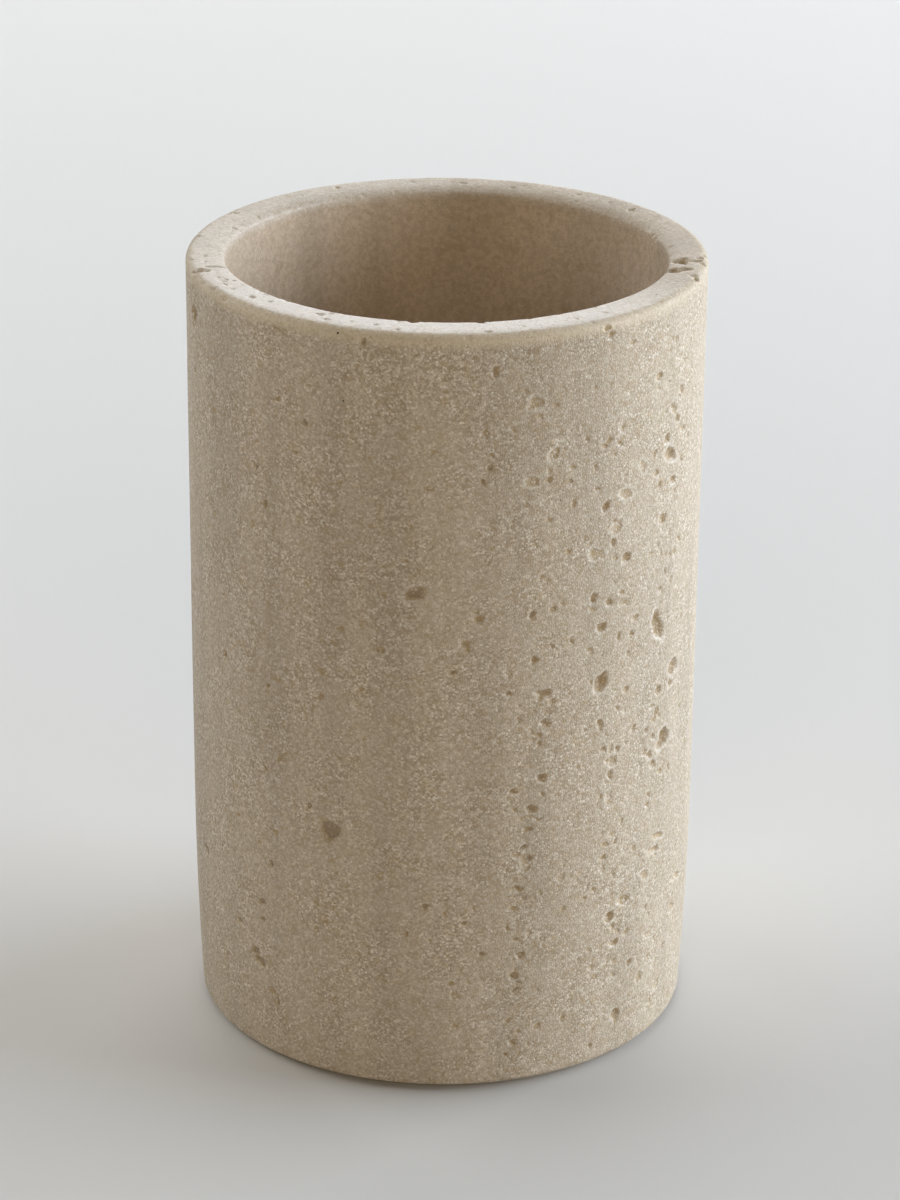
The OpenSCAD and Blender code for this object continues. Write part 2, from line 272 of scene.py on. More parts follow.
# %% Small pits of the same side
small_pits = [
    (-65.4, 106.7), (-72.1, 101.7), (-17.3, 114.9), (-31.1, 101.6), (-44.2, 96.9), (-33.4, 96.9),
    (-44.8, 92.9), (-42.1, 87.9), (-24.2, 69.6), (-17.8, 63.1), (-42, 60), (-57.1, 61.6), (-42.9, 46.8),
    (-26.8, 44.6), (-28.5, 46.3), (-30.6, 43.3), (-41.3, 31.9), (-28.6, 27.8), (-29, 23.8),
    (-44.4, 22.1), (-40.4, 9.2), (-24.6, 12.8), (-7.2, 88.4), (2.2, 66.6), (9.5, 97), (8.1, 94.9),
    (9.8, 98.9), (27.4, 93.7), (22.4, 94.4), (28.5, 90.3), (33.9, 94.9), (34.3, 91.7), (23.9, 74.9),
    (19.2, 74.6), (28.6, 69.6), (23.7, 69.4), (14.2, 62.9), (24.1, 60.7), (21.3, 54.5), (22.3, 46.6),
    (16, 44.7), (17.9, 38.6), (19.4, 36.6), (14.8, 25.9), (16.4, 24.2), (17.5, 16.6), (17, 15.5),
    (27.9, 27.5), (17.8, 8.4), (15, 4.8), (22.5, 8.9), (28.8, 9.2), (0.9, 28.6), (3.3, 10.4), (8.9, 22),
    (-3.6, 29.9), (-7.6, 25.3), (7, 29.6), (5.1, 27.2), (36, 115.4), (37, 114.1), (61.7, 100.7),
    (40.4, 97.5), (36.1, 97.8), (37.3, 98.4), (53.9, 89), (54, 79.8), (42, 74.9), (46.5, 70.2),
    (41.3, 68.4), (57.3, 75.2), (55.3, 72.7), (59.3, 77.1), (60, 73.2), (67.1, 93.7), (63.5, 91),
    (63.4, 78.8), (44, 59.6), (51.7, 94), (44.5, 64.9), (41.5, 57.1), (54.5, 52.5), (46.9, 52.9),
    (51.5, 51.5), (53.2, 40.8), (39, 35.9), (38.4, 33.9), (42.1, 35.8), (41.5, 30.9), (35.9, 29.2),
    (46.6, 20), (41.9, 22.1), (67.5, 20.6), (43.1, 13.7), (36.3, 16.3), (67.2, 51.3), (61.7, 43.3),
    (31.4, 99.4),
]
print(len(small_pits), "small pits")

# %% [markdown]
# Every bed has its own depth and its own share of dust and painted shade: the right side's pits are
# open holes with less of both, and the left side's, where shade falls, are shallow bowls painted darker.
# A reading covers a pit's dark floor, so its outline is made a little larger, to have room for the lip.
# The small pits all have nearly one size, so a sine wave of their number makes them differ, and turns
# each another way.

# %% Note the pits of the photographed side
# Pits, depth as a share of the width, and share of the usual dust and painted shade
beds = [
    (left_pits, 0.24, 1.0), (centre_pits, 0.28, 0.9), (first_bed_pits, 0.42, 0.85),
    (second_bed_pits, 0.38, 0.78), (third_bed_pits, 0.36, 0.72),
]
usual_dirt_and_shade = 0.85
lip_more = 1.12
small_long = 1.25
small_wide = 0.85
small_depth_share = 0.32
small_least = 0.8
small_spread = 0.4
small_size_step = 7
small_turn_step = 40
shaded_side_to = 20
shaded_side_dirt_and_shade = 1.25
lit_side_dirt_and_shade = 0.9
pits = []


def add_pit(angle, s, long, wide, tilt, depth, dirt_and_shade=usual_dirt_and_shade):
    """Notes one pit: its place on the unrolled skin, size, tilt, depth and share of the usual dust and shade.
    """
    pits.append((math.radians(angle) * outer_r, s, long, wide, math.radians(tilt), depth, dirt_and_shade))


for bed, depth_share, dirt_and_shade in beds:
    for angle, height, long, wide, tilt in bed:
        add_pit(angle, s_on_wall(height), lip_more * long, lip_more * wide, tilt, depth_share * wide, dirt_and_shade)
for place, (angle, height) in enumerate(small_pits):
    size = small_least + small_spread * math.sin(small_size_step * place) ** 2
    # Small pits on the shaded left side get more painted shade with their dust
    dirt_and_shade = shaded_side_dirt_and_shade if angle < shaded_side_to else lit_side_dirt_and_shade
    add_pit(angle, s_on_wall(height), size * small_long, size * small_wide,
            small_turn_step * place % 180, small_depth_share * small_wide, dirt_and_shade)
print(len(pits), "pits read from the photographed side")

# %% [markdown]
# The back isn't in the photograph, so its pits are scattered: the same kind of beds, at even angles, with
# pits at uneven steps and sizes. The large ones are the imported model's own, so the same formula is used
# here. Its chance is the fraction of a sine wave's reading, which is the same in every program.

# %% Large pits round the back
front_bed_angles = (18, 39, 56)
back_beds = 6
bed_pits = 7
back_from = 96
back_to = 264
bed_half_w = 4.5
bed_seed = 11
pit_draws = 5
pit_size = 2
chance_turn = 78.233
chance_gain = 437.585
bed_least_share = 0.45
bed_jitter_share = 0.35
bed_rest_share = 0.03
back_depth_share = 0.3
seam_clear = 4


def wave_chance(n):
    """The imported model's own chance: the fraction of a sine wave's reading, from 0 to 1."""
    wave = chance_gain * (1 + math.sin(math.radians(n * chance_turn)))
    return wave - math.floor(wave)


def on_side(angle):
    """The same angle as -180 to 180, kept clear of the seam at the back."""
    turned = (angle + 180) % 360 - 180
    return max(seam_clear - 180, min(180 - seam_clear, turned))


bed_angles = list(front_bed_angles)
for bed in range(back_beds):
    middle = back_from + (back_to - back_from) * (bed + 0.5) / back_beds
    bed_angles.append(middle)
    for place in range(bed_pits):
        draw = bed_seed + pit_draws * (bed * bed_pits + place)
        aside, up, size, extra, tilt = (wave_chance(draw + k) for k in range(pit_draws))
        wide = pit_size * (bed_least_share + (1 - bed_least_share) * size * size)
        share = (place + 0.5 + bed_jitter_share * (2 * up - 1)) / bed_pits
        height = casting_h * (bed_rest_share + (1 - 2 * bed_rest_share) * share)
        angle = middle + math.degrees((2 * aside - 1) * bed_half_w / outer_r)
        add_pit(on_side(angle), s_on_wall(height), wide * (1 + extra), wide,
                90 * (2 * tilt - 1), back_depth_share * wide)
print(len(pits), "pits with the back's large ones")

# %% [markdown]
# Fine pits, under a millimetre, go all round, closer together in the beds and in some upright streaks
# than elsewhere. A seeded random generator gives the same stone on every run. Where a value has two
# numbers, chance picks one between them.

# %% Fine pits
stone_seed = 11
chance = np.random.default_rng(stone_seed)
fine_per_bed = 46
fine_elsewhere = 420
fine_sizes = (0.4, 0.65)
fine_extra = 0.5
fine_heights = (0.015, 0.975)
fine_longer = (1, 1.7)
fine_depths = (0.14, 0.28)
fine_spread = 4
streaks = 9
share_in_streaks = 0.4


def add_fine_pit(angle):
    """A pit under a millimetre, at any height."""
    size = chance.uniform(*fine_sizes) + fine_extra * chance.random() ** 3
    height = casting_h * chance.uniform(*fine_heights)
    add_pit(on_side(angle), s_on_wall(height), size * chance.uniform(*fine_longer), size,
            chance.uniform(0, 180), size * chance.uniform(*fine_depths))


for middle in bed_angles:
    for _ in range(fine_per_bed):
        add_fine_pit(middle + chance.normal(0, fine_spread))
streak_angles = chance.uniform(-180, 180, streaks)
for _ in range(fine_elsewhere):
    if chance.random() < share_in_streaks:
        add_fine_pit(chance.choice(streak_angles) + chance.normal(0, fine_spread))
    else:
        add_fine_pit(chance.uniform(-180, 180))
print(len(pits), "pits with the fine ones")

# %% [markdown]
# Middling pits fill the beds between the large ones. At the front, where the large ones were read, they
# are fewer, half as deep and hold less dust and painted shade, so that they don't compete with the pits of
# the photograph.

# %% Middling pits in the beds
middling_sizes = (0.75, 1.1)
middling_extra = 0.9
middling_heights = (0.03, 0.97)
middling_longer = (1, 1.9)
middling_depths = (0.22, 0.36)
middling_spread = 5

# Number, share of the depth and share of the dust and painted shade
front_bed_kind = (16, 0.5, 0.6)
back_bed_kind = (20, 1, 1)

for bed, middle in enumerate(bed_angles):
    count, share, dirt_and_shade = front_bed_kind if bed < len(front_bed_angles) else back_bed_kind
    for _ in range(count):
        wide = chance.uniform(*middling_sizes) + middling_extra * chance.random() ** 3
        angle = on_side(middle + chance.normal(0, middling_spread))
        height = casting_h * chance.uniform(*middling_heights)
        long = wide * chance.uniform(*middling_longer)
        tilt = chance.uniform(-90, 90)
        deep = wide * chance.uniform(*middling_depths) * share
        add_pit(angle, s_on_wall(height), long, wide, tilt, deep, dirt_and_shade)
print(len(pits), "pits with the middling ones")

# %% [markdown]
# The rim has a character of its own: two deep notches on the right, one on the left with a fine crack
# beside it, and nicks along its edges where grains broke away. They are pits too, placed by their angle
# and their share of the wall's thickness from the bore. Then come a length across the wall, a width along
# it and a depth. A sixth number is a mark's share of the usual dust and painted shade, lower where hands
# keep the rim cleaner.

# %% Marks in the rim
rim_marks = [
    (84.4, 0.3, 2.7, 2.9, 0.9), (84.1, 0.66, 2.0, 1.5, 0.25, 0.45), (86.2, 0.78, 1.6, 1.2, 0.2, 0.4),
    (76.5, 0.18, 2.6, 2.6, 0.8), (77.6, 0.45, 2.3, 1.9, 0.4, 0.6), (73.5, 0.8, 1.6, 1.2, 0.2, 0.35),
    (72.3, 0.9, 1.3, 1.5, 0.5), (82.5, 0.88, 1.2, 1.6, 0.3), (84.5, 0.74, 1.2, 0.9, 0.35),
    (72, 0.92, 1.1, 0.9, 0.3), (88.5, 0.93, 1.3, 0.9, 0.3), (-74.4, 0.8, 2.0, 1.9, 0.6, 0.5),
    (-73.6, 0.62, 1.4, 1.2, 0.35, 0.4), (-51.1, 0.5, 1.3, 1.3, 0.22, 0.45),
    (-45.6, 0.39, 1.0, 0.8, 0.15, 0.3), (-30.5, 0.35, 1.0, 2.0, 0.2, 0.3),
    (-27.5, 0.6, 0.9, 1.4, 0.15, 0.3), (-16, 0.5, 0.8, 0.8, 0.15, 0.3),
    (-10.5, 0.7, 0.7, 0.9, 0.15, 0.3), (9, 0.75, 0.8, 1.2, 0.2, 0.5), (-65.7, 0.35, 0.7, 0.6, 0.2),
    (-64.3, 0.21, 0.6, 0.6, 0.15), (-61.5, 0.9, 0.9, 1.6, 0.2, 0.2), (-56, 0.96, 1.0, 2.0, 0.25, 0.2),
    (-66.5, 0.96, 0.9, 1.5, 0.2, 0.2), (-119.5, 0.7, 1.2, 1.0, 0.2, 0.5),
    (-109.8, 0.21, 1.0, 0.8, 0.16, 0.5), (-99.8, 0.83, 1.0, 0.8, 0.16, 0.5), (-8, 0.05, 0.9, 1.6, 0.25),
    (8.5, 0.05, 0.8, 1.3, 0.22), (9, 0.17, 0.6, 0.7, 0.15), (128, 0.5, 1.4, 1.2, 0.25, 0.5),
    (163, 0.35, 1.0, 0.9, 0.18, 0.4), (-152, 0.6, 1.2, 1.0, 0.2, 0.4),
]
mark_dirt_and_shade = 0.8
crack_from = (-76.6, 0.55)
crack_to = (-76.1, 0.06)
crack_marks = 9
crack_across = 0.55
crack_along = 0.75
crack_depth = 0.16


def add_rim_mark(angle, share, across, along, depth, dirt_and_shade=mark_dirt_and_shade):
    """A mark in the rim. The unrolled skin is wider there than the stone, so its width is stretched."""
    s = s_on_rim(share)
    stretch = outer_r / profile_at(s)[0]
    add_pit(angle, s, along * stretch, across, 0, depth, dirt_and_shade)


for mark in rim_marks:
    add_rim_mark(*mark)
for step in np.linspace(0, 1, crack_marks):
    angle = crack_from[0] + step * (crack_to[0] - crack_from[0])
    share = crack_from[1] + step * (crack_to[1] - crack_from[1])
    add_rim_mark(angle, share, crack_across, crack_along, crack_depth)
print(len(pits), "pits with the rim's marks")

# %% Nicks along the rim's edges
rim_nicks = 120
nick_places = [0.03, 0.12, 0.5, 0.86, 0.95]
nick_shift = 0.06
nick_sizes = (0.4, 0.85)
nick_longer = (0.9, 1.8)
nick_depths = (0.08, 0.22)
nick_dirt_and_shade = 0.35

for _ in range(rim_nicks):
    share = chance.choice(nick_places) + chance.uniform(-nick_shift, nick_shift)
    size = chance.uniform(*nick_sizes)
    add_rim_mark(on_side(chance.uniform(-180, 180)), share, size, size * chance.uniform(*nick_longer),
                 size * chance.uniform(*nick_depths), nick_dirt_and_shade)
print(len(pits), "pits with the nicks")

# %% [markdown]
# No real pit is an ellipse. Each one gets an outline that swells and pinches: a few cosine waves round
# the ellipse, with seeded sizes.

# %% Uneven outlines
waves = np.arange(2, 7)
wave_sizes = np.array([0.17, 0.14, 0.10, 0.08, 0.06])
pit_shapes = [(chance.uniform(-1, 1, waves.size) * wave_sizes, chance.uniform(0, 2 * math.pi, waves.size))
              for _ in pits]


def swell(shape, turn):
    """How far a pit's outline reaches in a direction, as a share of its ellipse."""
    sizes, phases = shape
    return 1 + np.cos(np.multiply.outer(turn, waves) + phases) @ sizes


reaches = [swell(shape, 0) for shape in pit_shapes]
print(f"outlines reach from {min(reaches):.2f} to {max(reaches):.2f} of their ellipse")

# %% [markdown]
# Rings of points follow each outline inside and just outside the lip, because the lip is where the light
# changes fastest. Points that fall too close to an earlier one are left out, so that no face is a sliver.

# %% Rings of points round each pit
large_wide = 0.95
large_rings = (1.5, 1.25, 1.1, 1.0, 0.9, 0.78, 0.6, 0.38, 0.16)
small_rings = (1.45, 1.15, 0.95, 0.7, 0.35)
ring_point_gap = 0.36
fewest_on_ring = 7
most_on_ring = 26


def ring_points(pit, shape):
    """Points on the rings of one pit, in the unrolled plane."""
    u, s, long, wide, tilt, _, _ = pit
    made = [(u, s)]
    for ring in large_rings if wide >= large_wide else small_rings:
        count = math.pi * math.sqrt(long * wide) * ring / ring_point_gap
        count = int(np.clip(count, fewest_on_ring, most_on_ring))
        turn = np.arange(count) * 2 * math.pi / count
        reach = ring * swell(shape, turn)
        along = reach * np.cos(turn) * long / 2
        across = reach * np.sin(turn) * wide / 2
        made.extend(zip(u + along * math.cos(tilt) - across * math.sin(tilt),
                        s + along * math.sin(tilt) + across * math.cos(tilt)))
    return made


print("the first pit gets", len(ring_points(pits[0], pit_shapes[0])), "points")

# %% Thin the points out
ring_gap = 0.13
seam_gap = 0.4


def tree_of(points):
    """A search tree of flat points."""
    tree = KDTree(len(points))
    for index, (u, s) in enumerate(points):
        tree.insert((u, s, 0), index)
    tree.balance()
    return tree


def thinned(points, gap):
    """The points, less each that lies closer than gap to an earlier one."""
    tree = tree_of(points)
    kept = np.ones(len(points), bool)
    for index, (u, s) in enumerate(points):
        if kept[index]:
            for _, other, _ in tree.find_range((u, s, 0), gap):
                if other > index:
                    kept[other] = False
    return points[kept]


# Wide pits come first, so a small one gives way where they meet
order = sorted(range(len(pits)), key=lambda index: -pits[index][3])
pit_points = np.array([point for index in order for point in ring_points(pits[index], pit_shapes[index])])
kept = (np.abs(pit_points[:, 0]) < half_w - seam_gap) & (pit_points[:, 1] > rows[1])
pit_points = thinned(pit_points[kept & (pit_points[:, 1] < rows[-2])], ring_gap)
print(len(pit_points), "points in pits")

# %% [markdown]
# Plain wall gets a coarse grid, twice as fine at the rim, where its outline is seen. The grid keeps clear
# of the pits' points. The two sides of the strip have the same rows, and they meet at the back.

# %% The grid between the pits
columns = 168
rim_margin = 2
grid_gap = 0.42
edge_rows = np.array(rows)
grid = []
for row in edge_rows:
    fine = rim_from - rim_margin < row < rim_to + rim_margin
    count = columns * (2 if fine else 1)
    grid.extend((u, row) for u in np.arange(1, count) * skin_w / count - half_w)
grid = np.array(grid)
pit_tree = tree_of(pit_points)
clear = [row in (rows[0], rows[-1]) or pit_tree.find((u, row, 0))[2] > grid_gap for u, row in grid]
left_edge = np.column_stack([np.full(edge_rows.size, -half_w), edge_rows])
right_edge = np.column_stack([np.full(edge_rows.size, half_w), edge_rows])
flat_points = np.concatenate([left_edge, right_edge, grid[clear], pit_points])
print(len(flat_points), "points on the unrolled skin")

# %% [markdown]
# How deep a point lies is worked out from its place. Inside a pit the depth falls from the lip in a
# smooth step, so the lip is rounded, as sandblasting leaves it. The floor of a pit is uneven. Where two
# pits meet, the deeper one wins. Each pit is painted brown, darker in a deep one and on the shaded left
# side: dust and painted shade. Round a wide pit that holds little of it, the lip gets a pale painted
# highlight. Both are kept with the points, for the finish.

# %% Where a point lies in a pit
pit_reach = 0.8


def smooth_step(start, full, value):
    """0 at start, 1 at full, with no corner at either."""
    share = np.clip((value - start) / (full - start), 0, 1)
    return share * share * (3 - 2 * share)


def points_at(pit, shape):
    """The points at a pit: their indices, their ring (1 on the outline) and their turn round it."""
    u, s, long, wide, tilt, _, _ = pit
    reach = pit_reach * long
    near = by_row[np.searchsorted(sorted_rows, s - reach):np.searchsorted(sorted_rows, s + reach)]
    near = near[np.abs(flat_points[near, 0] - u) < reach]
    du, ds = (flat_points[near] - (u, s)).T
    along = (du * math.cos(tilt) + ds * math.sin(tilt)) / (long / 2)
    across = (ds * math.cos(tilt) - du * math.sin(tilt)) / (wide / 2)
    turn = np.arctan2(across, along)
    return near, np.hypot(along, across) / swell(shape, turn), turn


by_row = np.argsort(flat_points[:, 1])
sorted_rows = flat_points[by_row, 1]
print("the first pit has", len(points_at(pits[0], pit_shapes[0])[0]), "points at it")

# %% Depth, dust with painted shade, and painted lip highlights
# Each pair says where a smooth step starts and where it is full. A ring of 1 is the outline, widths are
# in millimetres, and the last two pairs are shares of the usual dust and painted shade
depth_rings = (1.16, 0.48)
dust_and_shade_rings = (1.12, 0.6)
lip_rises = (0.9, 1.08)
lip_falls = (1.4, 1.16)
lip_widths = (0.6, 1.6)
lip_dirt_and_shade_shares = (1.0, 0.72)
lip_dust_and_shade_shares = (0.3, 0.1)
floor_tilt_share = 0.25
dust_and_shade_least = 0.55
dust_and_shade_per_mm = 1.0
dusty_and_shaded_from = 0.95

depth = np.zeros(len(flat_points))
dust_and_shade = np.zeros(len(flat_points))
painted_lip_highlight = np.zeros(len(flat_points))
for pit, shape in zip(pits, pit_shapes):
    wide, pit_depth, dirt_and_shade = pit[3], pit[5], pit[6]
    near, ring, turn = points_at(pit, shape)
    lean = 1 + floor_tilt_share * np.cos(turn - shape[1][0]) * np.minimum(ring, 1)
    depth[near] = np.maximum(depth[near], pit_depth * lean * smooth_step(*depth_rings, ring))
    # Brown in the pit: dust and painted shade, more of it where the pit is deep
    dust_and_shade_held = dirt_and_shade * min(1, (dust_and_shade_least + dust_and_shade_per_mm * pit_depth) * min(1, wide / dusty_and_shaded_from))
    dust_and_shade[near] = np.maximum(dust_and_shade[near], dust_and_shade_held * smooth_step(*dust_and_shade_rings, ring))
    # Pale painted highlight on the lips of wide pits with little dust and shade
    lip = smooth_step(*lip_rises, ring) * smooth_step(*lip_falls, ring)
    lip *= smooth_step(*lip_widths, wide) * smooth_step(*lip_dirt_and_shade_shares, dirt_and_shade)
    painted_lip_highlight[near] = np.maximum(painted_lip_highlight[near], lip)
painted_lip_highlight *= smooth_step(*lip_dust_and_shade_shares, dust_and_shade)
print(f"the deepest pit goes in {depth.max():.2f} mm")

# %% [markdown]
# The whole skin also waves in by a few hundredths of a millimetre, because a hand-finished casting is
# never quite true. A few sine waves round the wall and along it are enough.

# %% Waves of the whole skin
wave_depth = 0.035

# Waves round the wall, turn per millimetre along it, and phase
skin_waves = [(3, 0.05, 0), (5, -0.09, 1), (8, 0.13, 2), (2, 0.17, 4)]
angle = flat_points[:, 0] / outer_r
along_skin = flat_points[:, 1]
wave = sum(np.sin(count * angle + twist * along_skin + phase) for count, twist, phase in skin_waves)
inwards = depth + wave_depth * (wave + len(skin_waves)) / len(skin_waves)
print(f"the skin goes in by {inwards.mean():.3f} mm on average")

# %% [markdown]
# The rim isn't the same all round. It was ground by hand, a little lower at the back. At the photographed
# side its inner edge is crisp and its outer edge is worn, and towards the back the stone falls away to
# the bore, as if a sponge had gone round that edge. Only the top few millimetres come down, so the pits
# of the wall stay where they are.

# %% The worn rim
rim_tilt = 0.3
rim_wear = 0.3
rim_wear_across = 2.4
rim_slope = 0.3
rim_fall = 0.6
rim_fall_across = 4
worn_below = 2.6
worn_fully = 0.3

# Angles from the front at which a mask starts and is full
back_angles = (40, 125)
front_angles = (95, 35)


def by_angle(start, full, turn):
    """0 at the start angle and 1 at the full one, both in degrees, for turns in radians."""
    return smooth_step(math.radians(start), math.radians(full), turn)


r, z, n_r, n_z = profile_at(along_skin)
at_back = by_angle(*back_angles, np.abs(angle))
at_front = by_angle(*front_angles, np.abs(angle))
to_bore = np.clip(1 - (r - bore_r) / rim_fall_across, 0, 1)
to_outside = np.clip(1 - (outer_r - r) / rim_wear_across, 0, 1)
lower = rim_tilt * (1 - np.cos(angle)) / 2 + at_back * (rim_slope * to_bore + rim_fall * to_bore ** 4)
lower += rim_wear * at_front * to_outside ** 2
lower *= smooth_step(rim_z - worn_below, rim_z - worn_fully, z)
print(f"the rim comes down by {lower.max():.2f} mm at most")

# %% [markdown]
# Blender's own Delaunay triangulation joins the points of the strip into the best-shaped triangles. Then
# the strip is wrapped round the axis, and its two sides share their vertices at the back. The strip
# itself is the UV map, so a baked texture has hardly any stretch.

# %% Wrap the strip round the axis
uv_room_beside = 42
uv_side = skin_w + uv_room_beside
same_place = 1e-7


def triangles_of(points):
    """Delaunay triangles of flat points, as indices of those points."""
    _, _, faces, origin, _, _ = delaunay_2d_cdt([Vector(p) for p in points], [], [], 0, same_place)
    first_of = [same[0] for same in origin]
    return [[first_of[corner] for corner in face] for face in faces]


r = r - n_r * inwards
z = z - lower - n_z * inwards
places = np.column_stack([r * np.sin(angle), -r * np.cos(angle), z])
edge_count = edge_rows.size
joined = np.arange(len(flat_points))
joined[edge_count:2 * edge_count] = np.arange(edge_count)
flat_uvs = (flat_points + (half_w, 0)) / uv_side
strip_faces = triangles_of(flat_points)
vertices = [places]
faces = [joined[face] for face in strip_faces]
face_uvs = [flat_uvs[face] for face in strip_faces]
print(len(faces), "triangles in the strip")

# %% [markdown]
# Two round patches close the skin, one over the bore's floor and one in the recess under the foot. Each
# joins the ring of vertices that is there already to smaller rings and a centre. In the UV map they lie
# in the room beside the strip.

# %% Close the bore's floor and the recess
disc_uv_r = 0.06
fewest_in_ring = 6

# Row, radius, level, step between rings, whether it faces up, and its middle in the UV map
floor_patch = (rows[-1], floor_disc_r, floor_z, 2.0, True, (0.925, 0.2))
recess_patch = (rows[0], recess_r, recess_z, 4.0, False, (0.925, 0.5))


def disc_points(radius, level, step):
    """Points inside a circle, on a level: smaller rings and a centre."""
    made = []
    for inner in np.arange(radius - step, step / 2, -step):
        count = max(fewest_in_ring, int(2 * math.pi * inner / step))
        turn = (np.arange(count) + 0.5) * 2 * math.pi / count
        made.extend((inner * np.sin(t), -inner * np.cos(t), level) for t in turn)
    return np.array(made + [(0, 0, level)])


def close_with(row, radius, level, step, upwards, uv_centre):
    """Fills the ring of vertices at one row with a round patch of triangles."""
    ring = np.flatnonzero(flat_points[:, 1] == row)
    ring = ring[joined[ring] == ring]
    inner = disc_points(radius, level, step)
    index = np.concatenate([ring, sum(len(part) for part in vertices) + np.arange(len(inner))])
    spots = np.concatenate([places[ring], inner])[:, :2]
    disc_uvs = spots / radius * disc_uv_r + uv_centre
    for face in triangles_of(spots):
        in_order = face if upwards else face[::-1]
        faces.append(index[in_order])
        face_uvs.append(disc_uvs[in_order])
    vertices.append(inner)


close_with(*floor_patch)
close_with(*recess_patch)
print(len(vertices[1]), "points in the floor's patch and", len(vertices[2]), "in the recess's")

# %% [markdown]
# The finish changes from place to place, so the mesh carries masks, one number for each vertex. The flat
# of the rim is painted pale, most at the front and least on the right: partly wear from hands and partly
# a painted sheen. A painted glow at its outer edge, strongest at the front, stands in for light that
# shines through the stone. The inside was never blasted, so its grain is calm, and so is the rim's. An
# edge that was rubbed by hand isn't a clean line, so one sine wave bends another and makes it ragged.
# Masks could be painted by hand, but worked out from a point's place they fit the shape and follow it
# when it changes.

# %% Where the rim gets its painted sheen and its painted glow
# Lengths along the profile, in millimetres
edge_ragged = 0.18
edge_fade = 1.1
edge_glow_across = 1.6
flat_edge = (1.25, 1.85)
flat_end_fade = 1.5

# Waves of the ragged edge, and how far the second wave bends the first
edge_waves = 31
edge_rewaves = 17
edge_bend = 3

# Where the rim's painted sheen and glow are strongest and weakest, and how much weaker the masks are
# elsewhere
lit_angles = (88, 38)
lit_middle = 0.15
right_angles = (40, 80)
rubbed_sheen_least = 0.4
sheen_less_right = 0.6
glow_least = 0.35

ragged = edge_ragged * np.sin(angle * edge_waves + edge_bend * np.sin(angle * edge_rewaves))
past_edge = along_skin - rim_from - ragged
on_flat = smooth_step(*flat_edge, past_edge) * smooth_step(rim_to + flat_end_fade, rim_to, along_skin)
near_edge = smooth_step(-edge_fade, 0, past_edge)
near_edge *= smooth_step(rim_to, rim_from + edge_glow_across, along_skin)
to_front = by_angle(*lit_angles, np.abs(angle + lit_middle))
to_right = by_angle(*right_angles, angle)
# Wear and painted sheen on the rim's flat: paler at the front, less on the right
rubbed_and_painted_sheen = on_flat * (rubbed_sheen_least + (1 - rubbed_sheen_least) * to_front) * (1 - sheen_less_right * to_right)
# Painted glow of light through the rim's outer edge, strongest at the front
edge_glow = near_edge * (1 - on_flat) * (glow_least + (1 - glow_least) * to_front)
print(f"{(rubbed_and_painted_sheen > 0.5).sum()} points are rubbed and {(edge_glow > 0.5).sum()} glow")

# %% Masks for every vertex
inside_from = 0.5
inside_to = 1
flat_calm = 0.8
edge_calm = 0.65


def over_mesh(strip_values, floor_value=0):
    """A mask for every vertex: the strip's values, one value for the bore's floor, and 0 in the recess."""
    floor_values = np.full(len(vertices[1]), floor_value)
    return np.concatenate([strip_values, floor_values, np.zeros(len(vertices[2]))])


inside = smooth_step(rim_to - inside_from, rim_to + inside_to, along_skin)
calm = np.maximum(inside, np.maximum(flat_calm * on_flat, edge_calm * near_edge))
masks = {
    "pit_dust_and_shade": over_mesh(dust_and_shade), "pit_lip_painted_highlight": over_mesh(painted_lip_highlight), "rubbed_and_painted_sheen": over_mesh(rubbed_and_painted_sheen),
    "inside": over_mesh(inside, 1), "edge_glow": over_mesh(edge_glow), "calm": over_mesh(calm, 1),
}
print("masks:", {name: round(float(values.mean()), 3) for name, values in masks.items()})

# %% [markdown]
# Now the parts become one mesh. The right-hand side's vertices were joined to the left's, so they are
# left out and the rest are numbered again. OFBake is the name by which the export knows a UV map that
# it may bake through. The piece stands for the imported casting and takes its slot.

# %% The stone's skin
all_places = np.concatenate(vertices)
used = np.unique(np.concatenate([np.ravel(face) for face in faces]))
renumbered = np.zeros(len(all_places), int)
renumbered[used] = np.arange(used.size)
skin = bpy.data.meshes.new("stone_casting")
skin.from_pydata((all_places[used] * MM).tolist(), [], [renumbered[face].tolist() for face in faces])
uv_map = skin.uv_layers.new(name="OFBake")
uv_map.data.foreach_set("uv", np.concatenate(face_uvs).ravel().astype(np.float32))
for name, values in masks.items():
    skin.attributes.new(name, "FLOAT", "POINT").data.foreach_set("value", values[used].astype(np.float32))
skin.shade_smooth()
stone_casting = bpy.data.objects.new("stone_casting", skin)
bpy.context.scene.collection.objects.link(stone_casting)
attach(stone_casting, "root")
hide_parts("tumbler_body")
print(len(skin.vertices), "vertices and", len(skin.polygons), "faces in the stone's skin")

# %% [markdown]
# The pad under the foot is a disc stamped out of closed-cell foam. It could stay a plain cylinder, but a
# real one is squeezed a little under the stone: its edge bulges, the stamp leaves both corners rounded,
# and the underside isn't quite flat. It is a lathe shape: a profile turned round the axis in a loop.

# %% A lathe for the pad
pad_edge_r = 0.35

# Two ripples of the underside: how many go round, and their length along the radius
ripples_round = (3, 2)
ripple_lengths = (4, 7)


